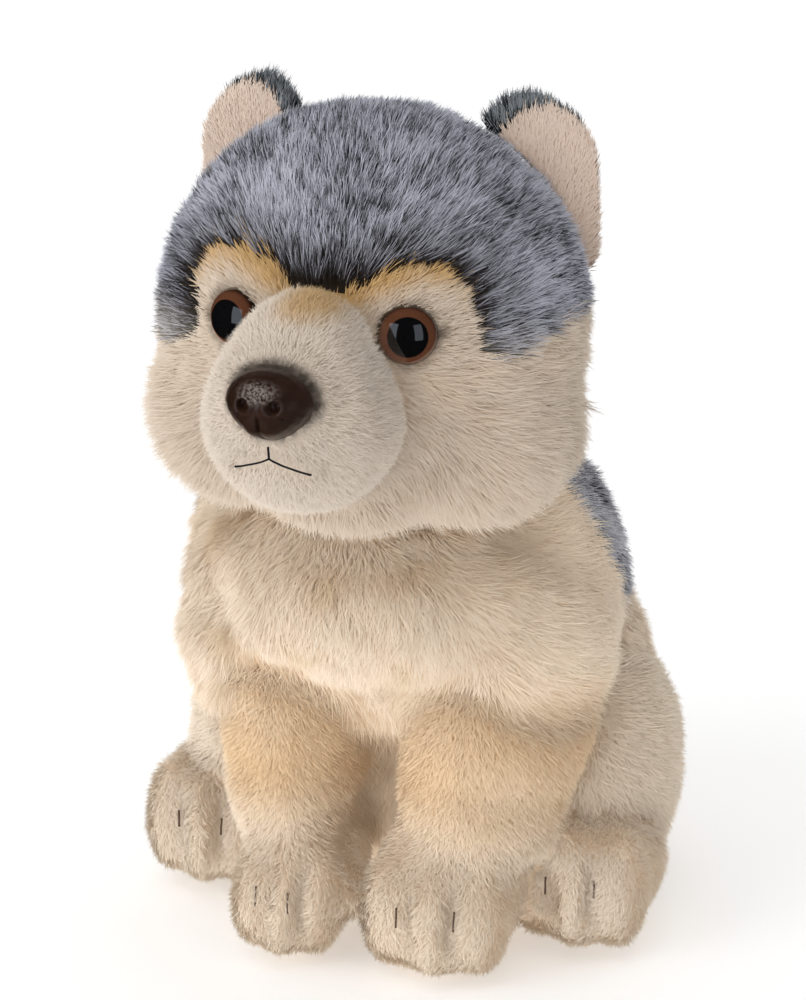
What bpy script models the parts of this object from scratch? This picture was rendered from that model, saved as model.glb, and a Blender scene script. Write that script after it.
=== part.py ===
"""Sitting plush wolf pup, about 22 cm tall.

Metres, +Z up. The wolf looks along -Y and its own left is +X. The origin is on the
floor under the middle of the whole toy. Every stuffed panel is a solid whose surface is
the mean surface of its fur. The eyes and the nose are moulded pieces whose shanks go
through the fabric and hold a washer behind it.
"""
import math

import bmesh
import bpy
from mathutils import Euler, Matrix, Vector
from mathutils.bvhtree import BVHTree

# ---------------------------------------------------------------- clearances
GAP = 0.0003              # between two pieces that are sewn or seated together
PANEL_DEPTH = 0.0055      # pile and backing of the crown and saddle panels

# ---------------------------------------------------------------- body
BARREL_WIDTH = 0.112      # across the ribs
BARREL_DEPTH = 0.090      # breast to spine
BARREL_HEIGHT = 0.092     # belly to withers
BARREL_MIDDLE = 0.096     # its middle above the floor
BIB_WIDTH = 0.090         # the fluffy breast in front of the barrel
BIB_DEPTH = 0.066
BIB_HEIGHT = 0.052
BIB_FORWARD = 0.026       # its middle in front of the barrel's
SHOULDER_WIDTH = 0.042    # one shoulder
SHOULDER_DEPTH = 0.060
SHOULDER_HEIGHT = 0.052
HIP_WIDTH = 0.116
HIP_DEPTH = 0.084
HIP_HEIGHT = 0.114
HIP_BACK = 0.036          # middle of the rump behind the barrel's

# ---------------------------------------------------------------- head
HEAD_WIDTH = 0.1055
HEAD_DEPTH = 0.090
HEAD_HEIGHT = 0.102
HEAD_FORWARD = 0.022      # middle of the head in front of the barrel's
NECK_SINK = 0.022         # how far the head settles into the body
CHEEK_WIDTH = 0.052
CHEEK_DEPTH = 0.066
CHEEK_HEIGHT = 0.054
CHEEK_DROP = 0.021        # middle of the cheeks below the middle of the head
MUZZLE_WIDTH = 0.0490
MUZZLE_HEIGHT = 0.0525
MUZZLE_DEPTH = 0.0480
MUZZLE_REACH = 0.007      # its middle in front of the face
MUZZLE_DROP = 0.0062       # its middle below the middle of the head
EAR_WIDTH = 0.0335
EAR_HEIGHT = 0.048        # with the part that is sewn against the head
EAR_THICKNESS = 0.0085    # lining, back and pile
EAR_LINING = 0.0035       # the lining's share of the thickness
EAR_CUP = 0.0050          # how far the ear's edges come forward
EAR_SPACING = 0.61 * HEAD_WIDTH  # between the ears' middles
EAR_RISE = 0.0264          # middle of the ears above the middle of the head
EAR_BACK = 0.016          # and behind it
EAR_TURN = 20.0           # degrees that the openings look outward
EAR_LEAN = 3.0            # degrees that the tips lean out

# ---------------------------------------------------------------- moulded eyes and nose
EYE_DIAMETER = 0.0145
EYE_DOME = 0.0058         # height of the dome over its flat back
EYE_SPACING = 0.0425
EYE_RISE = 0.0080         # above the middle of the head
EYE_PROUD = 0.0034        # height of the dome above the fur around it
EYE_TURN = 20.0           # degrees that each eye looks outward
EYE_TILT = 6.0            # degrees that it looks upward
NOSE_WIDTH = 0.0218
NOSE_HEIGHT = 0.0182
NOSE_THICKNESS = 0.0120
NOSE_PROUD = 0.0088       # height of the nose above the fur around it
NOSE_RISE = 17.0          # degrees above the muzzle's forward axis
NOSE_TILT = 8.0           # degrees that its face looks upward
NOSTRIL_SPACING = 0.0070
NOSTRIL_SIZE = 0.0038
SHANK_DIAMETER = 0.0040
SHANK_LENGTH = 0.0085
SHANK_BARB = 0.0004       # height of the ridges that hold the washer
FABRIC_GRIP = 0.0030      # fabric between a moulded back and its washer
WASHER_DIAMETER = 0.0125
WASHER_THICKNESS = 0.0015

# ---------------------------------------------------------------- legs, feet and tail
LEG_SPACING = 0.050       # between the middles of the forelegs' shafts
LEG_WIDTH = 0.0435
LEG_DEPTH = 0.043
LEG_FORWARD = 0.012       # middle of the shafts in front of the barrel's
FOREARM_WIDTH = 0.050     # where the leg meets the shoulder
PASTERN_WIDTH = 0.0370     # over the paw
PAW_SPACING = 0.040
PAW_WIDTH = 0.038
PAW_LENGTH = 0.045
PAW_HEIGHT = 0.037
PAW_FORWARD = 0.018
HAUNCH_SPACING = 0.088
HAUNCH_WIDTH = 0.046
HAUNCH_DEPTH = 0.066
HAUNCH_HEIGHT = 0.076
HAUNCH_BACK = 0.028
FOOT_SPACING = 0.098
FOOT_WIDTH = 0.039
FOOT_LENGTH = 0.050
FOOT_HEIGHT = 0.041
FOOT_BACK = 0.009         # middle of the feet behind the shoulders'
RIGHT_LEG_SHARE = 0.86     # the wolf's right foreleg is turned, and is this much narrower across
RIGHT_FOOT_BACK = 0.008    # its right hind foot sits this far behind the left one
RIGHT_FOOT_OUT = 0.004     # and this far further out
TOE_WIDTH = 0.0170        # of each of the three toes of a paw
TOE_REACH = 0.0035        # how far the toes stand in front of the paw
TAIL_LENGTH = 0.080       # along its bend
TAIL_DIAMETER = 0.034
TAIL_SWING = 132.0        # degrees that the tail bends round to the wolf's right

# ---------------------------------------------------------------- threads
THREAD_DIAMETER = 0.0009
PHILTRUM_LENGTH = 0.0031  # upright stitch under the nose
MOUTH_WIDTH = 0.0180
MOUTH_DROP = 0.0036       # the mouth's corners below its middle
TOE_STITCH_LENGTH = 0.0065

# ---------------------------------------------------------------- facets
VOXEL = 0.0030            # grid that fuses the lobes of a stuffed form
FACETS_KEPT = 0.075        # share of that grid's triangles that is kept
ROUND = 16                # sides of a turned piece

# ---------------------------------------------------------------- places that follow from the sizes
BARREL = Vector((0, 0.010, BARREL_MIDDLE))
BIB = BARREL + Vector((0, -BIB_FORWARD, 0.004))
SHOULDER = Vector((BARREL_WIDTH / 2 - SHOULDER_WIDTH / 2 + 0.001, BARREL.y - 0.014, BARREL.z - 0.010))
HIPS = Vector((0, BARREL.y + HIP_BACK - 0.010, HIP_HEIGHT / 2 - 0.002))
HEAD = Vector((0, BARREL.y - 0.010 - HEAD_FORWARD,
               BARREL.z + BARREL_HEIGHT / 2 - NECK_SINK + HEAD_HEIGHT / 2))
CHEEK = HEAD + Vector((HEAD_WIDTH / 2 - CHEEK_WIDTH / 2 + 0.001, -0.006, -CHEEK_DROP))
MUZZLE = HEAD + Vector((0, -HEAD_DEPTH / 2 - MUZZLE_REACH, -MUZZLE_DROP))
EAR = HEAD + Vector((EAR_SPACING / 2, EAR_BACK, EAR_RISE))
LEG = Vector((LEG_SPACING / 2, BARREL.y - 0.010 - LEG_FORWARD, 0))
PAW = Vector((PAW_SPACING / 2, BARREL.y - 0.010 - PAW_FORWARD, PAW_HEIGHT / 2 - 0.0005))
HAUNCH = Vector((HAUNCH_SPACING / 2, BARREL.y - 0.010 + HAUNCH_BACK, HAUNCH_HEIGHT / 2))
FOOT = Vector((FOOT_SPACING / 2, BARREL.y - 0.010 + FOOT_BACK, FOOT_HEIGHT / 2))
TAIL_ROOT = Vector((0, HIPS.y + HIP_DEPTH / 2 - 0.014, TAIL_DIAMETER / 2 + 0.002))

for old in list(bpy.data.objects):
    bpy.data.objects.remove(old)

wolf = bpy.data.collections.new("plush_wolf")
cutters = bpy.data.collections.new("cutters")
bpy.context.scene.collection.children.link(wolf)
bpy.context.scene.collection.children.link(cutters)
root = bpy.data.objects.new("plush_wolf_root", None)
wolf.objects.link(root)


# ---------------------------------------------------------------- helpers
def material(name, colour, roughness, metallic=0.0):
    made = bpy.data.materials.new(name)
    made.use_nodes = True
    shader = made.node_tree.nodes["Principled BSDF"]
    shader.inputs["Base Color"].default_value = (*colour, 1)
    shader.inputs["Roughness"].default_value = roughness
    shader.inputs["Metallic"].default_value = metallic
    made.diffuse_color = (*colour, 1)
    return made


def mesh_object(name, mesh, location=(0, 0, 0), collection=None):
    made = bpy.data.objects.new(name, mesh)
    made.location = location
    (collection or cutters).objects.link(made)
    if collection is None:
        made.hide_render = True
        made.display_type = "WIRE"
    return made


def mesh_of(bm, name):
    bmesh.ops.recalc_face_normals(bm, faces=bm.faces)
    mesh = bpy.data.meshes.new(name)
    bm.to_mesh(mesh)
    bm.free()
    return mesh


def evaluated(source):
    """A new mesh of the object as its modifiers leave it, in the object's own space."""
    bpy.context.view_layer.update()
    graph = bpy.context.evaluated_depsgraph_get()
    return bpy.data.meshes.new_from_object(source.evaluated_get(graph))


def applied(source):
    """Turns the object's modifiers into plain mesh."""
    mesh = evaluated(source)
    source.modifiers.clear()
    source.data = mesh
    return source


def ellipsoid(bm, centre, radii, tilt=(0, 0, 0), sides=32):
    turned = Euler([math.radians(a) for a in tilt]).to_matrix().to_4x4()
    place = Matrix.Translation(centre) @ turned @ Matrix.Diagonal((*radii, 1))
    bmesh.ops.create_uvsphere(bm, u_segments=sides, v_segments=sides * 5 // 8, radius=1, matrix=place)


def stuffed_form(name, origin, lobes, softness=6, kept=FACETS_KEPT):
    """Fuses ellipsoid lobes into one stuffed skin and sets it flat on the floor.

    lobes are (centre, (width, depth, height)) in the wolf's own space.
    """
    bm = bmesh.new()
    for centre, size in lobes:
        ellipsoid(bm, Vector(centre) - Vector(origin), [s / 2 for s in size])
    form = mesh_object(name, mesh_of(bm, name), origin)
    fuse = form.modifiers.new("fuse lobes", "REMESH")
    fuse.mode = "VOXEL"
    fuse.voxel_size = VOXEL
    relax = form.modifiers.new("relax", "SMOOTH")
    relax.factor = 0.5
    relax.iterations = softness
    thin = form.modifiers.new("facets", "DECIMATE")
    thin.ratio = kept
    applied(form)
    bm = bmesh.new()
    bm.from_mesh(form.data)
    floor = Vector((0, 0, -origin[2]))
    bmesh.ops.bisect_plane(bm, geom=bm.verts[:] + bm.edges[:] + bm.faces[:], dist=1e-6,
                           plane_co=floor, plane_no=(0, 0, 1), clear_inner=True)
    rim = [e for e in bm.edges if e.is_boundary]
    if rim:
        bmesh.ops.contextual_create(bm, geom=rim)
    bmesh.ops.triangulate(bm, faces=bm.faces[:])
    form.data = mesh_of(bm, name)
    form.data.shade_smooth()
    return form


def mirrored(source, name):
    """The same piece for the wolf's right side."""
    mesh = source.data.copy()
    mesh.name = name
    mesh.transform(Matrix.Scale(-1, 4, (1, 0, 0)))
    mesh.flip_normals()
    made = mesh_object(name, mesh)
    made.location = (-source.location.x, source.location.y, source.location.z)
    return made


def grown(source, distance):
    """A cutter that follows the form at a distance, outside it or, below zero, inside."""
    bm = bmesh.new()
    bm.from_mesh(source.data)
    bm.normal_update()
    moved = [v.co + v.normal * distance * min(v.calc_shell_factor(), 2.0) for v in bm.verts]
    for vert, place in zip(bm.verts, moved):
        vert.co = place
    made = mesh_object(source.name + "_offset", mesh_of(bm, source.name + "_offset"))
    made.matrix_world = source.matrix_world.copy()
    made.location = source.location
    made.rotation_euler = source.rotation_euler
    return made


def boolean(target, tool, operation):
    step = target.modifiers.new(operation.lower(), "BOOLEAN")
    step.operation = operation
    step.object = tool
    return applied(target)


def copied(source, name):
    made = mesh_object(name, source.data.copy(), source.location)
    made.rotation_euler = source.rotation_euler
    return made


def seated(target, *neighbours):
    """Trims the target so that it lies against its neighbours with the seam's gap."""
    for neighbour in neighbours:
        boolean(target, grown(neighbour, GAP), "DIFFERENCE")
    return target


def piece(form, name, colour, roughness):
    """Takes a finished form into the wolf as one named piece."""
    bm = bmesh.new()
    bm.from_mesh(form.data)
    bmesh.ops.remove_doubles(bm, verts=bm.verts, dist=0.00002)
    bmesh.ops.dissolve_degenerate(bm, edges=bm.edges, dist=0.00002)
    bmesh.ops.holes_fill(bm, edges=[e for e in bm.edges if e.is_boundary])
    bmesh.ops.triangulate(bm, faces=bm.faces[:])
    mesh = mesh_of(bm, name)
    mesh.shade_smooth()
    mesh.set_sharp_from_angle(angle=math.radians(50))
    for collection in list(form.users_collection):
        collection.objects.unlink(form)
    wolf.objects.link(form)
    form.hide_render = False
    form.display_type = "TEXTURED"
    form.name = name
    form.data = mesh
    mesh.materials.clear()
    mesh.materials.append(material(name + "_material", colour, roughness))
    form.parent = root
    return form


def surface_of(form):
    """The form's skin as a tree that rays can be cast at, in the wolf's own space."""
    bm = bmesh.new()
    bm.from_mesh(form.data)
    bm.transform(Matrix.LocRotScale(form.location, form.rotation_euler, None))
    tree = BVHTree.FromBMesh(bm)
    bm.free()
    return tree


def hit_from_front(tree, x, z):
    """Where a ray along +Y from in front of the wolf meets the skin."""
    return tree.ray_cast(Vector((x, -1.0, z)), Vector((0, 1, 0)))[0]


def turned(name, profile, frame, collection=None):
    """A piece turned round its own Z axis from (radius, height) points, top to bottom."""
    mesh = bpy.data.meshes.new(name)
    points = [(r, 0, h) for r, h in profile]
    mesh.from_pydata(points, [(i, i + 1) for i in range(len(points) - 1)], [])
    made = mesh_object(name, mesh, collection=collection)
    screw = made.modifiers.new("turn", "SCREW")
    screw.steps = screw.render_steps = ROUND
    screw.use_merge_vertices = True
    screw.merge_threshold = 0.00001
    screw.use_normal_calculate = True
    applied(made)
    bm = bmesh.new()
    bm.from_mesh(made.data)
    bmesh.ops.remove_doubles(bm, verts=bm.verts, dist=0.00001)
    made.data = mesh_of(bm, name)
    made.location = frame.to_translation()
    made.rotation_euler = frame.to_euler()
    return made


def facing(place, direction, up=Vector((0, 0, 1))):
    """A frame at a place whose Z looks along the direction and whose X is level."""
    z = direction.normalized()
    x = up.cross(z).normalized()
    frame = Matrix((x, z.cross(x), z)).transposed().to_4x4()
    frame.translation = place
    return frame


def thread(name, points, clear_of):
    """A thread along the points, lifted until it lies just clear of the skin."""
    lift = THREAD_DIAMETER / 2 + GAP
    laid = []
    for point in points:
        spot = point.copy()
        for _ in range(8):
            near, normal, _, distance = clear_of.find_nearest(spot)
            inside = (spot - near).dot(normal) < 0
            short = lift - (-distance if inside else distance)
            if short <= 0:
                break
            spot = spot + normal * (short + 0.00002)
        laid.append(spot)
    curve = bpy.data.curves.new(name, "CURVE")
    curve.dimensions = "3D"
    curve.bevel_depth = THREAD_DIAMETER / 2
    curve.bevel_resolution = 1
    curve.use_fill_caps = True
    spline = curve.splines.new("POLY")
    spline.points.add(len(laid) - 1)
    for spot, vert in zip(laid, spline.points):
        vert.co = (*spot, 1)
    carrier = bpy.data.objects.new(name + "_curve", curve)
    cutters.objects.link(carrier)
    bm = bmesh.new()
    bm.from_mesh(evaluated(carrier))
    bmesh.ops.remove_doubles(bm, verts=bm.verts, dist=0.00001)
    made = mesh_object(name, mesh_of(bm, name))
    bpy.data.objects.remove(carrier)
    return made


# ---------------------------------------------------------------- stuffed forms
def body_form():
    shoulder_size = (SHOULDER_WIDTH, SHOULDER_DEPTH, SHOULDER_HEIGHT)
    nape = Vector((0, (BARREL.y + HEAD.y) / 2, BARREL.z + BARREL_HEIGHT / 2 - 0.010))
    return stuffed_form("torso_form", BARREL, [
        (BARREL, (BARREL_WIDTH, BARREL_DEPTH, BARREL_HEIGHT)),
        (BIB, (BIB_WIDTH, BIB_DEPTH, BIB_HEIGHT)),
        (SHOULDER, shoulder_size),
        ((-SHOULDER.x, SHOULDER.y, SHOULDER.z), shoulder_size),
        (HIPS, (HIP_WIDTH, HIP_DEPTH, HIP_HEIGHT)),
        (nape, (BARREL_WIDTH * 0.72, BARREL_DEPTH * 0.74, BARREL_HEIGHT * 0.44)),
    ])


def head_form():
    cheek_size = (CHEEK_WIDTH, CHEEK_DEPTH, CHEEK_HEIGHT)
    jaw = HEAD + Vector((0, -0.014, -CHEEK_DROP - 0.002))
    return stuffed_form("head_form", HEAD, [
        (HEAD, (HEAD_WIDTH, HEAD_DEPTH, HEAD_HEIGHT)),
        (CHEEK, cheek_size),
        ((-CHEEK.x, CHEEK.y, CHEEK.z), cheek_size),
        (jaw, (CHEEK_WIDTH * 1.15, CHEEK_DEPTH, CHEEK_HEIGHT)),
    ])


def toes(paw, width, length, height):
    """Three toe lobes across the front of a paw, the middle one furthest forward."""
    step = (width - TOE_WIDTH) / 2
    front = paw.y - length / 2 - TOE_REACH + TOE_WIDTH / 2
    return [((paw.x + side * step, front + abs(side) * 0.0042, paw.z - height * 0.02),
             (TOE_WIDTH, TOE_WIDTH * 1.15, height * 0.90)) for side in (-1, 0, 1)]


def foreleg_form():
    forearm = Vector((LEG.x + (FOREARM_WIDTH - LEG_WIDTH) / 2, LEG.y, SHOULDER.z - 0.022))
    shaft = Vector((LEG.x, LEG.y - 0.001, forearm.z * 0.72))
    pastern = Vector(((LEG.x + PAW.x) / 2, (LEG.y + PAW.y) / 2, PAW_HEIGHT * 0.85))
    return stuffed_form("foreleg_form", (LEG.x, LEG.y, 0.030), [
        (forearm, (FOREARM_WIDTH, LEG_DEPTH * 1.24, SHOULDER_HEIGHT)),
        (shaft, (LEG_WIDTH * 1.03, LEG_DEPTH * 1.14, 0.058)),
        (pastern, (PASTERN_WIDTH, PASTERN_WIDTH * 1.10, 0.044)),
        (PAW, (PAW_WIDTH, PAW_LENGTH, PAW_HEIGHT)),
    ] + toes(PAW, PAW_WIDTH, PAW_LENGTH, PAW_HEIGHT), softness=3, kept=0.14)


def hind_foot_form():
    return stuffed_form("hind_foot_form", FOOT, [
        (FOOT, (FOOT_WIDTH, FOOT_LENGTH, FOOT_HEIGHT)),
    ] + toes(FOOT, FOOT_WIDTH, FOOT_LENGTH, FOOT_HEIGHT), softness=3, kept=0.14)


def tail_form():
    """Lobes along an arc that leaves the rump backwards and bends to the wolf's right."""
    swing = math.radians(TAIL_SWING)
    bend = TAIL_LENGTH / swing
    lobes = []
    for step in range(6):
        share = step / 5
        angle = share * swing
        thick = TAIL_DIAMETER * (1.0 - 0.50 * share ** 2.2)
        spot = TAIL_ROOT + Vector((-bend * (1 - math.cos(angle)), bend * math.sin(angle), 0))
        spot.z = thick / 2 - 0.0005
        lobes.append((spot, (thick, thick, thick)))
    return stuffed_form("tail_form", TAIL_ROOT, lobes, softness=5)


torso_form = body_form()
skull_form = head_form()
muzzle_form = stuffed_form("muzzle_form", MUZZLE, [
    (MUZZLE, (MUZZLE_WIDTH, MUZZLE_DEPTH, MUZZLE_HEIGHT)),
], softness=2, kept=0.17)
leg_forms = {"left": foreleg_form()}
haunch_forms = {"left": stuffed_form("haunch_form", HAUNCH, [
    (HAUNCH, (HAUNCH_WIDTH, HAUNCH_DEPTH, HAUNCH_HEIGHT)),
])}
foot_forms = {"left": hind_foot_form()}
for forms in (leg_forms, haunch_forms, foot_forms):
    forms["right"] = mirrored(forms["left"], forms["left"].name + "_right")
leg_forms["right"].data.transform(Matrix.Diagonal((RIGHT_LEG_SHARE, 1, 1, 1)))
leg_forms["right"].location.x *= RIGHT_LEG_SHARE
foot_forms["right"].data.transform(Matrix.Translation((-RIGHT_FOOT_OUT, RIGHT_FOOT_BACK, 0)))

torso_skin = surface_of(torso_form)
head_skin = surface_of(skull_form)
muzzle_skin = surface_of(muzzle_form)


# ---------------------------------------------------------------- panels
def prism(name, outline, axis, start, end):
    """A straight block of an outline given across the axis, from start to end along it."""
    bm = bmesh.new()
    corners = []
    for across, up in outline:
        spot = Vector((start, across, up)) if axis == "x" else Vector((across, start, up))
        corners.append(bm.verts.new(spot))
    face = bm.faces.new(corners)
    moved = bmesh.ops.extrude_face_region(bm, geom=[face])
    shift = Vector((end - start, 0, 0)) if axis == "x" else Vector((0, end - start, 0))
    bmesh.ops.translate(bm, vec=shift, verts=[v for v in moved["geom"] if isinstance(v, bmesh.types.BMVert)])
    return mesh_object(name, mesh_of(bm, name))


def crown_region():
    """Above the brow line in front, and the whole back of the head behind the cheeks."""
    eye_x, eye_z = EYE_SPACING / 2, HEAD.z + EYE_RISE
    muzzle_top = MUZZLE.z + MUZZLE_HEIGHT / 2
    side, top = HEAD_WIDTH, HEAD.z + HEAD_HEIGHT
    brow = [(0, muzzle_top - 0.003), (eye_x - 0.013, muzzle_top - 0.001), (eye_x - 0.009, eye_z + 0.013),
            (eye_x, eye_z + 0.017), (eye_x + 0.010, eye_z + 0.014), (eye_x + 0.017, eye_z + 0.005),
            (eye_x + 0.020, eye_z - 0.005), (eye_x + 0.026, eye_z - 0.004), (side, eye_z - 0.002)]
    outline = [(-x, z) for x, z in reversed(brow[1:])] + brow + [(side, top), (-side, top)]
    nape = HEAD.y + 0.014
    front = prism("crown_front", outline, "y", HEAD.y - HEAD_DEPTH, nape + 0.001)
    back = prism("crown_back", [(-side, HEAD.z - HEAD_HEIGHT), (side, HEAD.z - HEAD_HEIGHT),
                                (side, top - 0.001), (-side, top - 0.001)], "y", nape, HEAD.y + HEAD_DEPTH)
    return boolean(front, back, "UNION")


def saddle_region():
    """The upper back, from the nape to above the rump."""
    bottom = BARREL.z - BARREL_HEIGHT * 0.18
    far = HIPS.y + HIP_DEPTH
    return prism("saddle_block", [(BARREL.y - 0.012, HEAD.z), (BARREL.y - 0.006, bottom + 0.026),
                                  (BARREL.y + 0.008, bottom + 0.006), (BARREL.y + 0.030, bottom),
                                  (far, bottom - 0.004), (far, HEAD.z)],
                 "x", -BARREL_WIDTH, BARREL_WIDTH)


def split_off_panel(form, region, names):
    """Parts a stuffed form into its core and the panel that lies over it in the region."""
    panel = boolean(copied(form, names[1]), region, "INTERSECT")
    boolean(panel, grown(form, -PANEL_DEPTH), "DIFFERENCE")
    around = grown(region, GAP)
    boolean(around, grown(form, -PANEL_DEPTH - GAP), "DIFFERENCE")
    core = boolean(copied(form, names[0]), around, "DIFFERENCE")
    return core, panel


head, crown = split_off_panel(skull_form, crown_region(), ("head", "crown_panel"))
torso, saddle = split_off_panel(torso_form, saddle_region(), ("torso", "back_panel"))
seated(torso, skull_form)
seated(saddle, skull_form)


# ---------------------------------------------------------------- moulded eyes
def shank(top, tip):
    """Profile of a barbed shank from under a moulded back down to its tip."""
    r, barb = SHANK_DIAMETER / 2, SHANK_BARB
    points = [(r, top)]
    pitch = (top - tip) / 4
    for k in (1, 2, 3):
        z = top - k * pitch
        points += [(r, z + 0.0005), (r + barb, z), (r, z - 0.0002)]
    return points + [(r, tip + 0.0008), (r * 0.6, tip), (0, tip)]


def washer(name, frame, back):
    """The lock washer behind the fabric, clear of the shank's barbs."""
    bore = SHANK_DIAMETER / 2 + SHANK_BARB + GAP
    rim, top = WASHER_DIAMETER / 2, back - FABRIC_GRIP
    made = turned(name, [(bore, top), (rim - 0.0004, top), (rim, top - 0.0004), (rim, top - WASHER_THICKNESS),
                         (bore, top - WASHER_THICKNESS), (bore, top)], frame)
    return piece(made, name, (0.86, 0.85, 0.80), 0.4)


def seat_cutter(name, frame, back, rim, reach):
    """Room in the stuffing for a moulded back, its shank and its washer."""
    bore = SHANK_DIAMETER / 2 + SHANK_BARB + GAP
    pocket = WASHER_DIAMETER / 2 + GAP
    top, low = back - FABRIC_GRIP + GAP, back - FABRIC_GRIP - WASHER_THICKNESS - GAP
    tip = back - SHANK_LENGTH - GAP
    profile = [(0, reach), (rim, reach), (rim, back - GAP)] if rim else [(0, reach), (bore, reach)]
    return turned(name, profile + [(bore, back - GAP), (bore, top), (pocket, top), (pocket, low),
                                   (bore, low), (bore, tip), (0, tip)], frame)


def eye_frame(side):
    """The eye's own frame: its Z leaves the face, and its flat back is at zero."""
    spot = hit_from_front(head_skin, side * EYE_SPACING / 2, HEAD.z + EYE_RISE)
    turn, tilt = math.radians(EYE_TURN), math.radians(EYE_TILT)
    look = Vector((side * math.sin(turn) * math.cos(tilt), -math.cos(turn) * math.cos(tilt), math.sin(tilt)))
    return facing(spot + look * (EYE_PROUD - EYE_DOME), look)


def eye_dome(extra=0.0):
    """Profile of the glossy dome, from its top to its rim."""
    radius, rim = EYE_DIAMETER / 2 + extra, 0.0010
    rest = [(radius * math.sin(a), rim + (EYE_DOME + extra - rim) * math.cos(a))
            for a in (math.radians(15 * k) for k in range(1, 7))]
    return [(0, EYE_DOME + extra)] + rest


def eye(side_name, side):
    radius = EYE_DIAMETER / 2
    frame = eye_frame(side)
    made = turned(side_name + "_eye", eye_dome() + [(radius - 0.0003, 0)] + shank(0, -SHANK_LENGTH), frame)
    for target in (head, crown):
        boolean(target, seat_cutter("eye_seat", frame, 0, radius + GAP, EYE_DOME + 0.02), "DIFFERENCE")
    corner = turned("eye_corner", eye_dome(GAP) + [(radius + GAP, -GAP), (0, -GAP)], frame)
    boolean(muzzle_form, corner, "DIFFERENCE")
    washer(side_name + "_eye_washer", frame, 0)
    return piece(made, side_name + "_eye", (0.035, 0.014, 0.008), 0.12)


for side_name, side in (("left", 1), ("right", -1)):
    eye(side_name, side)


# ---------------------------------------------------------------- muzzle, nose and mouth
def nose_frame():
    rise, tilt = math.radians(NOSE_RISE), math.radians(NOSE_TILT)
    out = Vector((0, -math.cos(rise), math.sin(rise)))
    spot = muzzle_skin.ray_cast(MUZZLE, out)[0]
    look = Vector((0, -math.cos(tilt), math.sin(tilt)))
    return facing(spot + look * (NOSE_PROUD - NOSE_THICKNESS), look)


def nose_body(name, frame, extra=0.0):
    """A flat-backed pad: broad and rounded above, narrower below, full in the middle."""
    bm = bmesh.new()
    bmesh.ops.create_uvsphere(bm, u_segments=24, v_segments=14, radius=1)
    for vert in bm.verts:
        x, y, z = vert.co
        taper = 1.0 - 0.24 * max(0.0, -y) ** 1.3 - 0.05 * max(0.0, y)
        flat = 1.0 - 0.10 * max(0.0, y)
        vert.co = (x * taper * (NOSE_WIDTH / 2 + extra), y * flat * (NOSE_HEIGHT / 2 + extra),
                   max(z, 0) * (NOSE_THICKNESS + extra) + min(z, 0) * (0.0006 + extra))
    made = mesh_object(name, mesh_of(bm, name), frame.to_translation())
    made.rotation_euler = frame.to_euler()
    return made


def nostril_cutter(frame, side):
    """A comma that starts as a round hole beside the middle and runs outwards."""
    bm = bmesh.new()
    inner, size = NOSTRIL_SPACING / 2, NOSTRIL_SIZE
    ellipsoid(bm, (side * inner, -0.0016, NOSE_THICKNESS * 0.90), (size / 2, size * 0.48, 0.0030), sides=12)
    hole = mesh_object("nostril", mesh_of(bm, "nostril"), frame.to_translation())
    hole.rotation_euler = frame.to_euler()
    bm = bmesh.new()
    ellipsoid(bm, (side * (inner + size * 0.55), -0.0006, NOSE_THICKNESS * 0.78),
              (size * 0.62, size * 0.22, 0.0022), (0, side * 18, side * 24), sides=10)
    slit = mesh_object("nostril_slit", mesh_of(bm, "nostril_slit"), frame.to_translation())
    slit.rotation_euler = frame.to_euler()
    return boolean(hole, slit, "UNION")


def philtrum_cutter(frame):
    """The upright groove from the middle of the nose to its lower edge."""
    bm = bmesh.new()
    ellipsoid(bm, (0, -NOSE_HEIGHT * 0.38, NOSE_THICKNESS * 0.92), (0.00055, NOSE_HEIGHT * 0.36, 0.0022),
              (26, 0, 0), sides=10)
    groove = mesh_object("philtrum_groove", mesh_of(bm, "philtrum_groove"), frame.to_translation())
    groove.rotation_euler = frame.to_euler()
    return groove


seated(muzzle_form, skull_form)
nose_at = nose_frame()
nose = nose_body("nose", nose_at)
for side in (1, -1):
    boolean(nose, nostril_cutter(nose_at, side), "DIFFERENCE")
boolean(nose, philtrum_cutter(nose_at), "DIFFERENCE")
boolean(nose, turned("nose_shank", [(0, 0.002)] + shank(0.002, -SHANK_LENGTH), nose_at), "UNION")
boolean(muzzle_form, nose_body("nose_seat", nose_at, GAP), "DIFFERENCE")
boolean(muzzle_form, seat_cutter("nose_shank_seat", nose_at, 0, 0, 0.002), "DIFFERENCE")
washer("nose_washer", nose_at, 0)


def mouth():
    """An upright stitch under the nose that parts into two gently drooping ones."""
    skin = surface_of(muzzle_form)
    low = nose_at @ Vector((0, -NOSE_HEIGHT / 2 - 0.0012, NOSE_THICKNESS * 0.4))
    fork = low.z - PHILTRUM_LENGTH
    upright = [hit_from_front(skin, 0, low.z - PHILTRUM_LENGTH * k / 5) for k in range(6)]
    half = MOUTH_WIDTH / 2
    smile = [hit_from_front(skin, half * k / 9, fork - MOUTH_DROP * abs(k / 9) ** 0.8) for k in range(-9, 10)]
    stitch = thread("mouth_stitching", smile, skin)
    return boolean(stitch, thread("philtrum_stitch", upright, skin), "UNION")


mouth_stitch = mouth()


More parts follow.
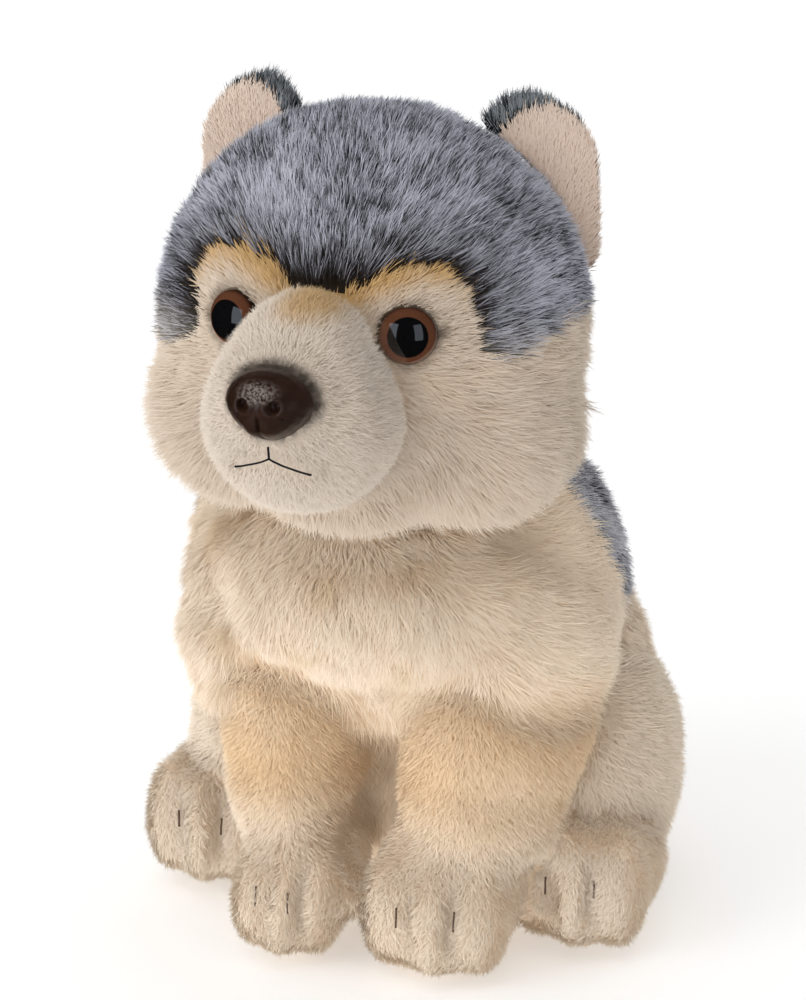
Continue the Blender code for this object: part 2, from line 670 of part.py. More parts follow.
# ---------------------------------------------------------------- ears
def ear_layer(name, side, front):
    """The lining or the back of one ear: a leaf pressed flat on its inner side, then cupped."""
    bm = bmesh.new()
    bmesh.ops.create_uvsphere(bm, u_segments=20, v_segments=12, radius=1,
                              matrix=Matrix.Rotation(math.radians(90), 4, "X"))
    split = -1 + 2 * EAR_LINING / EAR_THICKNESS
    clear = GAP / EAR_THICKNESS
    for vert in bm.verts:
        x, y, z = vert.co
        y = min(y, split - clear) if front else max(y, split + clear)
        x *= 1.04 - 0.11 * z - 0.10 * max(0.0, -z)
        vert.co = (x * EAR_WIDTH / 2, y * EAR_THICKNESS / 2 - EAR_CUP * (x * x - 0.3), z * EAR_HEIGHT / 2)
    made = mesh_object(name, mesh_of(bm, name), (side * EAR.x, EAR.y, EAR.z))
    made.rotation_euler = Euler((0, math.radians(EAR_LEAN * side), math.radians(EAR_TURN * side)))
    return made


for side_name, side in (("left", 1), ("right", -1)):
    lining = ear_layer(side_name + "_ear_lining", side, True)
    back = ear_layer(side_name + "_ear_back", side, False)
    seated(lining, skull_form)
    seated(back, skull_form)
    piece(lining, side_name + "_ear_lining", (0.80, 0.69, 0.58), 0.9)
    piece(back, side_name + "_ear_back", (0.07, 0.07, 0.075), 0.9)


# ---------------------------------------------------------------- legs, feet, tail and their stitches
def toe_stitches(form, paw, width, length, height):
    """Threads pulled in between the toes, over the front of a paw."""
    skin = surface_of(form)
    step = (width - TOE_WIDTH) / 4
    made = []
    for side in (-1, 1):
        x = paw.x + side * step * 1.05
        centre = Vector((x, paw.y - length / 2 + TOE_WIDTH * 0.55, paw.z - height * 0.05))
        points = []
        for k in range(7):
            angle = math.radians(8) + (k / 6) * TOE_STITCH_LENGTH / (height * 0.42)
            ray = Vector((0, -math.cos(angle), math.sin(angle)))
            points.append(skin.ray_cast(centre, ray)[0])
        made.append(thread("toe_stitch", points, skin))
    return made


CREAM = (0.84, 0.72, 0.56)
for side_name, side in (("left", 1), ("right", -1)):
    leg, haunch, foot = leg_forms[side_name], haunch_forms[side_name], foot_forms[side_name]
    share, further, out = (1.0, 0.0, 0.0) if side > 0 else (RIGHT_LEG_SHARE, RIGHT_FOOT_BACK, RIGHT_FOOT_OUT)
    paw_at = Vector((side * PAW.x * share, PAW.y, PAW.z))
    foot_at = Vector((side * (FOOT.x + out), FOOT.y + further, FOOT.z))
    stitches = [("front_paw", toe_stitches(leg, paw_at, PAW_WIDTH * share, PAW_LENGTH, PAW_HEIGHT)),
                ("hind_foot", toe_stitches(foot, foot_at, FOOT_WIDTH, FOOT_LENGTH, FOOT_HEIGHT))]
    whole_leg, whole_haunch = copied(leg, "whole_leg"), copied(haunch, "whole_haunch")
    seated(leg, torso_form)
    seated(haunch, torso_form, whole_leg)
    seated(foot, torso_form, whole_leg, whole_haunch)
    piece(leg, side_name + "_front_leg", CREAM, 0.9)
    piece(haunch, side_name + "_haunch", CREAM, 0.9)
    piece(foot, side_name + "_hind_foot", CREAM, 0.9)
    for limb, pair in stitches:
        for stitch, place in zip(pair, ("inner", "outer") if side > 0 else ("outer", "inner")):
            piece(stitch, "_".join((side_name, limb, "stitch", place)), (0.30, 0.22, 0.16), 0.7)
    haunch_forms[side_name] = whole_haunch

tail = seated(tail_form(), torso_form, haunch_forms["left"], haunch_forms["right"])

piece(torso, "torso", CREAM, 0.9)
piece(saddle, "back_panel", (0.30, 0.31, 0.36), 0.9)
piece(head, "head", (0.86, 0.76, 0.62), 0.9)
piece(crown, "crown_panel", (0.32, 0.33, 0.38), 0.9)
piece(muzzle_form, "muzzle", (0.88, 0.80, 0.68), 0.9)
piece(nose, "nose", (0.07, 0.03, 0.02), 0.35)
piece(mouth_stitch, "mouth_stitching", (0.02, 0.018, 0.016), 0.6)
piece(tail, "tail", (0.55, 0.50, 0.45), 0.9)

# The origin is on the floor under the middle of the whole toy.
ends = [o.matrix_world @ v.co for o in wolf.objects if o.type == "MESH" for v in o.data.vertices]
middle = Vector([(min(p[k] for p in ends) + max(p[k] for p in ends)) / 2 for k in (0, 1)] + [0])
for o in wolf.objects:
    if o.type == "MESH":
        o.location -= middle
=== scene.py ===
import math

import bmesh
import bpy
import numpy as np
from mathutils import Matrix, Vector, noise
from mathutils.bvhtree import BVHTree
from mathutils.kdtree import KDTree


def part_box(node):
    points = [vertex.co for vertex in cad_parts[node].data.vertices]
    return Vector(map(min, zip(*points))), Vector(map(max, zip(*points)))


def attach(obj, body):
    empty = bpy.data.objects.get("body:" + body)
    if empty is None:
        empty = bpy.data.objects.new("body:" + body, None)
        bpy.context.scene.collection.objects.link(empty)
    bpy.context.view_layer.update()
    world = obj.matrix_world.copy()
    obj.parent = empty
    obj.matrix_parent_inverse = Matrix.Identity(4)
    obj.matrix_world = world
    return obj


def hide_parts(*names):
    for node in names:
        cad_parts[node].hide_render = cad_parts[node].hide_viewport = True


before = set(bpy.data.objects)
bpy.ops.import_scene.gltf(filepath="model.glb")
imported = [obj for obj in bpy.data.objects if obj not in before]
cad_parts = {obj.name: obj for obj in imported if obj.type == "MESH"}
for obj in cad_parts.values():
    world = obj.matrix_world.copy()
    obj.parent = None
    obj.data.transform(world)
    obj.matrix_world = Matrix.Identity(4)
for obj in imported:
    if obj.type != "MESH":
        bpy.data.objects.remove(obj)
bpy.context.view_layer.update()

noise.seed_set(1)        # unseeded, noise_vector differs from one run to the next

# ---------------------------------------------------------------- sizes, in metres
SKIN_GRID = 0.0018       # of the grid that turns sewn solids into one stuffed skin
FIBRE_WIDTH = 0.00027
FIBRES = 6.5e6           # fibres to the square metre where the pile is full
EYE_WIDTH = 0.0145
EYE_DOME = 0.0058
EYE_TURN, EYE_TILT = 20.0, 6.0
NOSE_TILT = 8.0
CLOTH_START = 0.0012     # how far the body's skin is drawn in before its cloth run
CLOTH_CAP = 0.0022       # how far that run may move a point
CLOTH_GRID = 0.0045
CLOTH_PRESSURE, CLOTH_FRAMES = 4.0, 20
NOSE_GRID = 0.00027
THREAD_SLIM = 0.00020     # how much thinner a thread is drawn than its solid
FIBRE_FLOOR = 0.0004     # the lowest that a fibre reaches
BACKING_FLOOR = 0.0005
PANEL_LIFT = 0.0002      # of a dark panel over the light one that it borders
OWN_NORMAL = 1.15        # weight of a fibre's own normal against its backing's
BACKING_STRIP, FIBRE_STRIP = 0.19, 0.2   # of a piece's map: the backing's top, the fibres' foot


# ---------------------------------------------------------------- node trees
class Wire:
    """A socket that takes part in sums."""

    def __init__(self, desk, socket):
        self.desk, self.socket = desk, socket

    def sum(self, operation, first, second=0.0):
        return self.desk.node("ShaderNodeMath", {"operation": operation}, {0: first, 1: second})

    def floor(self): return self.sum("FLOOR", self)

    def of(self, name):
        """Another output of the same node."""
        outs = [s for s in self.socket.node.outputs if s.name == name and s.enabled]
        return Wire(self.desk, outs[0])


for sign, operation in (("add", "ADD"), ("sub", "SUBTRACT"), ("mul", "MULTIPLY"), ("truediv", "DIVIDE"),
                        ("pow", "POWER")):
    setattr(Wire, f"__{sign}__", lambda self, other, kind=operation: self.sum(kind, self, other))
    setattr(Wire, f"__r{sign}__", lambda self, other, kind=operation: self.sum(kind, other, self))


class Desk:
    """Where one tree is wired."""

    def __init__(self, tree):
        self.tree = tree

    def node(self, kind, settings=(), sockets=()):
        """A node with its settings, then its sockets' values or links; gives its first output in use."""
        made = self.tree.nodes.new(kind)
        for name, value in dict(settings).items():
            if name == "stops":
                line = made.color_ramp.elements
                while len(line) < len(value):
                    line.new(1.0)
                for stop, (at, colour) in zip(line, value):
                    stop.position, stop.color = at, (*colour, 1.0) if len(colour) == 3 else colour
            else:
                setattr(made, name, value)
        for name, value in dict(sockets).items():
            if isinstance(name, int):
                socket = made.inputs[name]
            else:
                socket = next(s for s in made.inputs if s.name == name and s.enabled)
            for one in value if isinstance(value, list) else [value]:
                if isinstance(one, Wire):
                    self.tree.links.new(one.socket, socket)
                else:
                    socket.default_value = one
        outs = [s for s in made.outputs if s.enabled]
        return Wire(self, outs[0]) if outs else made

    def mix(self, share, first, second, blend="MIX"):
        """Two colours in one; a plain colour is three numbers."""
        full = [(*c, 1.0) if isinstance(c, tuple) and len(c) == 3 else c for c in (first, second)]
        return self.node("ShaderNodeMix", {"data_type": "RGBA", "blend_type": blend, "clamp_factor": True},
                         {"Factor": share, "A": full[0], "B": full[1]})

    def ramp(self, share, *stops):
        return self.node("ShaderNodeValToRGB", {"stops": stops}, {"Fac": share})

    def band(self, value, low, high, first=0.0, last=1.0):
        """value between low and high, spread smoothly from first to last."""
        return self.node("ShaderNodeMapRange", {"interpolation_type": "SMOOTHSTEP"},
                         {"Value": value, "From Min": low, "From Max": high, "To Min": first, "To Max": last})

    def cloud(self, place, scale, detail=2.0, rough=0.5):
        return self.node("ShaderNodeTexNoise", {},
                         {"Vector": place, "Scale": scale, "Detail": detail, "Roughness": rough})

    def vector(self, operation, first, second):
        return self.node("ShaderNodeVectorMath", {"operation": operation}, {0: first, 1: second})

    def scaled(self, one, by):
        return self.node("ShaderNodeVectorMath", {"operation": "SCALE"}, {"Vector": one, "Scale": by})

    def place(self):
        return self.node("ShaderNodeTexCoord").of("Object")

    def mark(self, name):
        """A number that the piece carries at each point."""
        return self.node("ShaderNodeAttribute", {"attribute_name": name}).of("Fac")

    def spot(self, name):
        """A place that the piece carries at each point."""
        return self.node("ShaderNodeAttribute", {"attribute_name": name}).of("Vector")

    def lie(self):
        """The way that the pile faces: its backing's, bent a little to the fibre's own."""
        own = self.scaled(self.node("ShaderNodeNewGeometry").of("Normal"), OWN_NORMAL)
        both = self.vector("ADD", self.spot("facing"), own)
        return self.node("ShaderNodeVectorMath", {"operation": "NORMALIZE"}, {0: both})

    def bump(self, height, strength, depth):
        return self.node("ShaderNodeBump", {}, {"Height": height, "Strength": strength, "Distance": depth})


def finish_of(name, wiring, **fixed):
    """A material; wiring(desk) gives the sockets that vary, and fixed the shader's own values."""
    made = bpy.data.materials.new(name)
    made.use_nodes = True
    desk = Desk(made.node_tree)
    shader = made.node_tree.nodes["Principled BSDF"]
    for label, value in fixed.items():
        shader.inputs[label.replace("_", " ")].default_value = value
    for label, value in wiring(desk).items():
        if isinstance(value, Wire):
            made.node_tree.links.new(value.socket, shader.inputs[label])
        else:
            shader.inputs[label].default_value = value
    return made


def added(name, data):
    """An object in the scene."""
    made = bpy.data.objects.new(name, data)
    bpy.context.collection.objects.link(made)
    return made


def put(mesh, points, fresh=False):
    """Moves the mesh's points; fresh works its normals out again too."""
    mesh.vertices.foreach_set("co", points.ravel())
    if fresh:
        mesh.update()


def claimed(made, slot, *nodes):
    """Hangs the piece on the root body and hides the solids that it stands for."""
    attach(made, "root")
    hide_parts(*nodes)


# ---------------------------------------------------------------- pile
def fibre_blade():
    """One fibre: a narrow bent leaf, one unit wide, reaching along Y and standing along Z."""
    mesh = bpy.data.meshes.new("fibre")
    mesh.from_pydata([(0, -0.02, -0.15), (0.5, 0.38, 0.62), (-0.5, 0.38, 0.62), (0, 1, 1)], [],
                     [(0, 1, 2), (2, 1, 3)])
    mesh.shade_smooth()
    for name, values in (("along", (0, 0.55, 0.55, 1)), ("across", (0.5, 1, 0, 0.5))):
        mesh.attributes.new(name, "FLOAT", "POINT").data.foreach_set("value", np.array(values, np.float32))
    return bpy.data.objects.new("fibre", mesh)


PILE_SIZES = {"Fibre": "Object", "Finish": "Material", "Seed": "Int", **dict.fromkeys(
    ("Fibres per area", "Fibre width", "Swirl", "Lean", "Tuft scale", "Tuft pull", "Strand scale", "Strand pull",
     "Wander", "Wander scale", "Floor"), "Float")}


def pile_tree():
    """Grows combed fibres on a backing that carries comb, reach, stand and thick at its points."""
    tree = bpy.data.node_groups.new("plush_pile", "GeometryNodeTree")
    tree.interface.new_socket("Backing", in_out="INPUT", socket_type="NodeSocketGeometry")
    for name, kind in PILE_SIZES.items():
        tree.interface.new_socket(name, in_out="INPUT", socket_type="NodeSocket" + kind)
    tree.interface.new_socket("Plush", in_out="OUTPUT", socket_type="NodeSocketGeometry")
    desk = Desk(tree)
    given = desk.node("NodeGroupInput")

    def carried(name, kind="FLOAT"):
        return desk.node("GeometryNodeInputNamedAttribute", {"data_type": kind}, {"Name": name})

    def chance(low, high, step):
        return desk.node("FunctionNodeRandomValue", {"data_type": "FLOAT"},
                         {"Min": low, "Max": high, "Seed": given.of("Seed") + step})

    def kept(geometry, name, value, kind="FLOAT", domain="INSTANCE"):
        return desk.node("GeometryNodeStoreNamedAttribute", {"data_type": kind, "domain": domain},
                         {"Geometry": geometry, "Name": name, "Value": value})

    points = desk.node("GeometryNodeDistributePointsOnFaces", {"distribute_method": "RANDOM"},
                       {"Mesh": given.of("Backing"), "Density": given.of("Fibres per area") * carried("thick"),
                        "Seed": given.of("Seed")})
    turn = desk.node("FunctionNodeAxesToRotation", {"primary_axis": "Z", "secondary_axis": "Y"},
                     {"Primary Axis": points.of("Normal"), "Secondary Axis": carried("comb", "FLOAT_VECTOR")})
    size = desk.node("ShaderNodeCombineXYZ", {}, {
        "X": given.of("Fibre width") * chance(0.75, 1.2, 1) * carried("girth"),
        "Y": carried("reach") * chance(0.7, 1.15, 2),
        "Z": carried("stand") * chance(0.72, 1.12, 3)})
    blade = desk.node("GeometryNodeObjectInfo", {}, {"Object": given.of("Fibre")}).of("Geometry")
    fibres = desk.node("GeometryNodeInstanceOnPoints", {},
                       {"Points": points, "Instance": blade, "Rotation": turn, "Scale": size})
    turned = desk.node("ShaderNodeCombineXYZ", {}, {
        "X": given.of("Lean") * chance(-1.0, 1.0, 4), "Z": given.of("Swirl") * chance(-1.0, 1.0, 5)})
    turned = desk.node("FunctionNodeEulerToRotation", {}, {"Euler": turned})
    fibres = desk.node("GeometryNodeRotateInstances", {}, {"Instances": fibres, "Rotation": turned})
    fibres = kept(fibres, "root", desk.node("GeometryNodeInputPosition"), "FLOAT_VECTOR")
    fibres = kept(fibres, "tint", chance(0.0, 1.0, 6))
    fibres = kept(fibres, "facing", carried("lit", "FLOAT_VECTOR"), "FLOAT_VECTOR")
    fibres = kept(fibres, "cell", desk.node("GeometryNodeInputIndex"))
    count = desk.node("GeometryNodeAttributeDomainSize", {"component": "POINTCLOUD"}, {"Geometry": points})
    fibres = desk.node("GeometryNodeRealizeInstances", {}, {"Geometry": fibres})

    root, along = carried("root", "FLOAT_VECTOR"), carried("along")

    def gathered(scale, pull):
        middle = desk.node("ShaderNodeTexVoronoi", {"voronoi_dimensions": "3D"},
                           {"Vector": root, "Scale": given.of(scale)}).of("Position")
        return desk.scaled(desk.vector("SUBTRACT", middle, root),
                           given.of(pull) * along * along * carried("loose"))

    drift = desk.node("ShaderNodeTexNoise", {}, {"Vector": root, "Scale": given.of("Wander scale"), "Detail": 2.0})
    drift = desk.scaled(desk.vector("SUBTRACT", drift.of("Color"), (0.5, 0.5, 0.5)),
                        given.of("Wander") * along * carried("loose"))
    pulled = desk.vector("ADD", gathered("Tuft scale", "Tuft pull"), gathered("Strand scale", "Strand pull"))
    fibres = desk.node("GeometryNodeSetPosition", {},
                       {"Geometry": fibres, "Offset": desk.vector("ADD", pulled, drift)})
    where = desk.node("ShaderNodeSeparateXYZ", {}, {"Vector": desk.node("GeometryNodeInputPosition")})
    lowest = where.of("Z").sum("MAXIMUM", where.of("Z"), given.of("Floor"))
    fibres = desk.node("GeometryNodeSetPosition", {}, {"Geometry": fibres, "Position": desk.node(
        "ShaderNodeCombineXYZ", {}, {"X": where.of("X"), "Y": where.of("Y"), "Z": lowest})})
    # Each fibre has its own cell of the piece's map, above the strip that the backing takes.
    side = desk.node("ShaderNodeMath", {"operation": "CEIL"}, {0: (count * 1.0) ** 0.5})
    cell = carried("cell")
    row = (cell / side).floor()
    flat = desk.node("ShaderNodeCombineXYZ", {}, {
        "X": (cell - row * side + 0.15 + 0.7 * carried("across")) / side,
        "Y": FIBRE_STRIP + (1 - FIBRE_STRIP) * (row + 0.12 + 0.76 * along) / side})
    fibres = kept(fibres, "OFBake", flat, "FLOAT2", "CORNER")
    whole = desk.node("GeometryNodeJoinGeometry", {}, {"Geometry": [fibres, given.of("Backing")]})
    whole = desk.node("GeometryNodeRealizeInstances", {}, {"Geometry": whole})
    whole = desk.node("GeometryNodeSetMaterial", {}, {"Geometry": whole, "Material": given.of("Finish")})
    desk.node("NodeGroupOutput", {}, {"Plush": whole})
    return tree


FIBRE = fibre_blade()
PILE = pile_tree()
PILE_KEYS = {item.name: item.identifier for item in PILE.interface.items_tree if item.in_out == "INPUT"}


def grown_pile(name, backing, finish, seed, density=1.0, width=1.0, swirl=0.35, lean=0.15,
               tuft=260.0, pull=0.35, strand=700.0, gather=0.5, wander=0.002, wander_scale=120.0):
    """The backing with its pile, as one plain mesh."""
    carrier = added(name + "_carrier", backing)
    modifier = carrier.modifiers.new("pile", "NODES")
    modifier.node_group = PILE
    values = {"Fibre": FIBRE, "Finish": finish, "Seed": seed, "Floor": FIBRE_FLOOR,
              "Fibres per area": FIBRES * density, "Fibre width": FIBRE_WIDTH * width, "Swirl": swirl, "Lean": lean,
              "Tuft scale": tuft, "Tuft pull": pull, "Strand scale": strand, "Strand pull": gather,
              "Wander": wander, "Wander scale": wander_scale}
    for label, value in values.items():
        modifier[PILE_KEYS[label]] = value
    mesh = applied(carrier)
    bpy.data.objects.remove(carrier)
    mesh.name = name
    mesh.materials.clear()
    mesh.materials.append(finish)
    return added(name, mesh)


# ---------------------------------------------------------------- stuffed skins
def corners_of(mesh):
    points = np.zeros(len(mesh.vertices) * 3)
    mesh.vertices.foreach_get("co", points)
    return points.reshape(-1, 3)


def normals_of(mesh):
    normals = np.zeros(len(mesh.vertices) * 3)
    mesh.vertices.foreach_get("normal", normals)
    return normals.reshape(-1, 3)


def solid_of(*nodes):
    """The CAD nodes' surfaces in one mesh, with their loose triangles merged."""
    bm = bmesh.new()
    for node in nodes:
        bm.from_mesh(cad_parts[node].data)
    bmesh.ops.remove_doubles(bm, verts=bm.verts, dist=1e-6)
    mesh = bpy.data.meshes.new("solid")
    bm.to_mesh(mesh)
    bm.free()
    return mesh


def tree_of(*nodes):
    mesh = solid_of(*nodes)
    mesh.calc_loop_triangles()
    tree = BVHTree.FromPolygons([v.co[:] for v in mesh.vertices], [t.vertices[:] for t in mesh.loop_triangles])
    bpy.data.meshes.remove(mesh)
    return tree


def applied(obj):
    seen = obj.evaluated_get(bpy.context.evaluated_depsgraph_get())
    mesh = bpy.data.meshes.new_from_object(seen)
    obj.modifiers.clear()
    return mesh


def gridded(obj, grid, rounds=0):
    """The object's skin on an even grid, then smoothed."""
    remesh = obj.modifiers.new("grid", "REMESH")
    remesh.mode, remesh.voxel_size = "VOXEL", grid
    if rounds:
        smooth = obj.modifiers.new("soft", "SMOOTH")
        smooth.factor, smooth.iterations = 0.5, rounds
    return applied(obj)


def stuffed(name, nodes, grid=SKIN_GRID, rounds=8):
    """One closed skin over the nodes, as their sewn and stuffed cover takes it."""
    mesh = solid_of(*nodes)
    put(mesh, corners_of(mesh) + 0.0003 * normals_of(mesh))
    obj = added(name, mesh)
    whole = gridded(obj, grid, rounds)
    bpy.data.objects.remove(obj)
    bm = bmesh.new()
    bm.from_mesh(whole)
    islands, seen = [], set()
    for start in bm.verts:
        if start in seen:
            continue
        island, queue = [], [start]
        seen.add(start)
        while queue:
            at = queue.pop()
            island.append(at)
            for edge in at.link_edges:
                other = edge.other_vert(at)
                if other not in seen:
                    seen.add(other)
                    queue.append(other)
        islands.append(island)
    islands.sort(key=len)
    bmesh.ops.delete(bm, geom=[v for island in islands[:-1] for v in island], context="VERTS")
    bm.to_mesh(whole)
    bm.free()
    return whole


def swollen(mesh):
    """The skin drawn in, then moved by a short cloth run of a coarse copy under pressure.

    Most of the movement runs along the skin, so the body ends about 1 mm inside the smoothed one."""
    put(mesh, corners_of(mesh) - CLOTH_START * normals_of(mesh), True)
    scene = bpy.context.scene
    cloth = added("cover_cloth", mesh.copy())
    cloth.data = gridded(cloth, CLOTH_GRID)
    before = corners_of(cloth.data)
    blown = cloth.modifiers.new("filling", "CLOTH")
    blown.settings.quality = 5
    blown.settings.use_pressure, blown.settings.uniform_pressure_force = True, CLOTH_PRESSURE
    blown.settings.effector_weights.gravity = 0.0
    blown.point_cache.frame_start, blown.point_cache.frame_end = 1, CLOTH_FRAMES
    for step in range(1, CLOTH_FRAMES + 1):
        scene.frame_set(step)
    move = corners_of(applied(cloth)) - before
    scene.frame_set(1)
    bpy.data.objects.remove(cloth)
    far = np.linalg.norm(move, axis=1, keepdims=True)
    move *= np.minimum(1.0, CLOTH_CAP / np.maximum(far, 1e-9))
    near = KDTree(len(before))
    for k, p in enumerate(before):
        near.insert(p, k)
    near.balance()
    points = corners_of(mesh)
    for k, p in enumerate(points):
        found = near.find_n(p, 5)
        weight = np.array([1.0 / (d + 1e-4) for _, _, d in found])
        points[k] += (move[[i for _, i, _ in found]] * weight[:, None]).sum(0) / weight.sum()
    put(mesh, points, True)
    return mesh


def rise(value, low, high):
    """0 up to low, 1 from high on, and smooth between."""
    t = np.clip((value - low) / (high - low), 0.0, 1.0)
    return t * t * (3 - 2 * t)


def tangent(direction, normals):
    flat = direction - (direction * normals).sum(1, keepdims=True) * normals
    return flat / np.maximum(np.linalg.norm(flat, axis=1, keepdims=True), 1e-9)


def waves(points, scale, seed):
    """A soft random vector at each point, the same each run."""
    shift = Vector((seed * 3.1, seed * 1.7, seed * 0.9))
    return np.array([noise.noise_vector(Vector(p) * scale + shift) for p in points])


def drop_of(points, scale, seed):
    """A soft random number from 0 to 1 at each point."""
    shift = Vector((seed * 2.3, seed * 4.1, seed * 1.3))
    return np.array([0.5 + 0.5 * noise.noise(Vector(p) * scale + shift) for p in points])


def away(tree, points, reach=0.02):
    """How far each point is from a surface, up to reach."""
    out = np.full(len(points), reach)
    for k, p in enumerate(points):
        hit = tree.find_nearest(Vector(p), reach)
        if hit[0] is not None:
            out[k] = hit[3]
    return out


def sunk(mesh, depth):
    """The skin drawn in by depth at each point, so that the pile stands on it up to the solid's surface."""
    put(mesh, corners_of(mesh) - depth[:, None] * normals_of(mesh), True)


def marked(mesh, **marks):
    """A copy of the skin that carries these numbers and directions at its points."""
    mesh = mesh.copy()
    outward = normals_of(mesh)
    facing = outward.copy()
    facing[:, 2] = np.maximum(facing[:, 2], -0.25)
    facing /= np.linalg.norm(facing, axis=1, keepdims=True)
    marks.update(lit=facing, facing=facing, root=corners_of(mesh), along=np.full(len(outward), 0.25),
                 tint=np.full(len(outward), 0.5))
    for name, values in marks.items():
        values = np.asarray(values, np.float32)
        kind, field = ("FLOAT_VECTOR", "vector") if values.ndim == 2 else ("FLOAT", "value")
        mesh.attributes.new(name, kind, "POINT").data.foreach_set(field, values.ravel())
    return mesh


def patch_of(mesh, chosen):
    """The part of a skin whose points are chosen."""
    mesh = mesh.copy()
    bm = bmesh.new()
    bm.from_mesh(mesh)
    bm.verts.ensure_lookup_table()
    bmesh.ops.delete(bm, geom=[v for v in bm.verts if not chosen[v.index]], context="VERTS")
    bm.to_mesh(mesh)
    bm.free()
    return mesh


def mapped(mesh):
    """Each face of the backing has its own cell in the lowest strip of the piece's map."""
    layer = mesh.uv_layers.new(name="OFBake")
    across = max(1, math.ceil(math.sqrt(len(mesh.polygons) * 5.5)))
    down = math.ceil(len(mesh.polygons) / across)
    square = ((0, 0), (1, 0), (1, 1), (0, 1))
    uv = np.zeros((len(mesh.loops), 2), np.float32)
    for face in mesh.polygons:
        column, row = face.index % across, face.index // across
        for k, loop in enumerate(face.loop_indices):
            x, y = square[k % 4]
            uv[loop] = (column + 0.15 + 0.7 * x) / across, BACKING_STRIP * (row + 0.15 + 0.7 * y) / down
    layer.data.foreach_set("uv", uv.ravel())
    return mesh


def plush(name, mesh, finish, slot, nodes, seed, fill, **pile):
    """A covered piece: its backing, its pile, and what it stands for."""
    made = grown_pile(name, mapped(mesh), finish, seed, **pile)
    claimed(made, slot, *nodes)
    return made


# ---------------------------------------------------------------- places on the face
CAMERA_TURN, CAMERA_RISE, CAMERA_FAR = math.radians(18), math.radians(20), 1.0
CAMERA_TARGET = Vector((0.002, -0.0035, 0.115))
CAMERA_BACK = Vector((math.sin(CAMERA_TURN) * math.cos(CAMERA_RISE),
                      -math.cos(CAMERA_TURN) * math.cos(CAMERA_RISE), math.sin(CAMERA_RISE)))
ACROSS = Vector((math.cos(CAMERA_TURN), math.sin(CAMERA_TURN), 0.0))
UPWARD = CAMERA_BACK.cross(ACROSS)


def in_view(points):
    """Each point's places across and up the photograph, from its middle, in metres at the toy."""
    rel = points - np.array(CAMERA_TARGET)
    near = CAMERA_FAR / (CAMERA_FAR - rel @ np.array(CAMERA_BACK))
    return rel @ np.array(ACROSS) * near, rel @ np.array(UPWARD) * near


def eye_place(side_name, side):
    """The middle of the eye's flat back, and the way that it looks."""
    turn, tilt = math.radians(EYE_TURN), math.radians(EYE_TILT)
    look = Vector((side * math.sin(turn) * math.cos(tilt), -math.cos(turn) * math.cos(tilt), math.sin(tilt)))
    top = max((v.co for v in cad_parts[side_name + "_eye"].data.vertices), key=lambda p: p.dot(look))
    return top - look * EYE_DOME, look


EYES = {name: eye_place(name, side) for name, side in (("left", 1), ("right", -1))}
nose_look = Vector((0, -math.cos(math.radians(NOSE_TILT)), math.sin(math.radians(NOSE_TILT))))
nose_low, nose_high = (Vector(c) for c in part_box("nose"))
NOSE_MIDDLE = Vector(((nose_low.x + nose_high.x) / 2, nose_low.y + 0.006, (nose_low.z + nose_high.z) / 2))


def from_eyes(points):
    """How far each point is, across the eye, from the nearer eye's axis; far away behind the face."""
    out = np.full(len(points), 0.05)
    for middle, look in EYES.values():
        rel = points - np.array(middle)
        along = rel @ np.array(look)
        across = np.linalg.norm(rel - along[:, None] * np.array(look), axis=1)
        out = np.where((np.abs(along) < 0.02) & (rel[:, 1] < 0.02), np.minimum(out, across), out)
    return out


# ---------------------------------------------------------------- finishes
def cream_pile(name, roots, middles, tips, warm=(0.88, 0.58, 0.22), patch=(0.80, 0.56, 0.34), patches=0.35,
               scale=95.0, fleck=0.16, dark=(0.14, 0.080, 0.045)):
    def wiring(desk):
        along, tint, root = desk.mark("along"), desk.mark("tint"), desk.spot("root")
        shaft = desk.ramp(along, (0.0, roots), (0.5, middles), (1.0, tips))
        cloud = desk.band(desk.cloud(root, scale, 3.0, 0.6), 0.44, 0.74)
        shaft = desk.mix(cloud * patches * (1.2 - along), shaft, patch)
        shaft = desk.mix(desk.mark("warm"), shaft, warm)
        shaft = desk.mix(desk.mark("shade"), shaft, dark)
        return {"Base Color": desk.mix(tint * fleck, shaft, (0.62, 0.46, 0.30), "MULTIPLY"), "Normal": desk.lie()}
    return finish_of(name, wiring, Roughness=0.9, Specular_IOR_Level=0.0)


def grey_pile(name, dark, middle, light, scale=42.0, brown=(0.026, 0.019, 0.014)):
    def wiring(desk):
        along, tint, root = desk.mark("along"), desk.mark("tint"), desk.spot("root")
        cloud = desk.cloud(root, scale, 4.0, 0.65)
        strand = desk.cloud(root, 640.0, 1.0)
        lit = along + 1.35 * (0.5 - cloud) + 1.60 * (0.5 - strand) + 0.45 * (tint - 0.5) - 0.04
        lit = lit - 0.26 * desk.mark("shade")
        shaft = desk.ramp(lit, (0.16, dark), (0.46, middle), (0.86, light))
        shaft = desk.mix(desk.mark("shade") * (1.20 - 1.05 * along), shaft, brown)
        return {"Base Color": desk.mix(desk.mark("warm") * along, shaft, (0.85, 0.74, 0.58)), "Normal": desk.lie()}
    return finish_of(name, wiring, Roughness=0.8, Specular_IOR_Level=0.0)


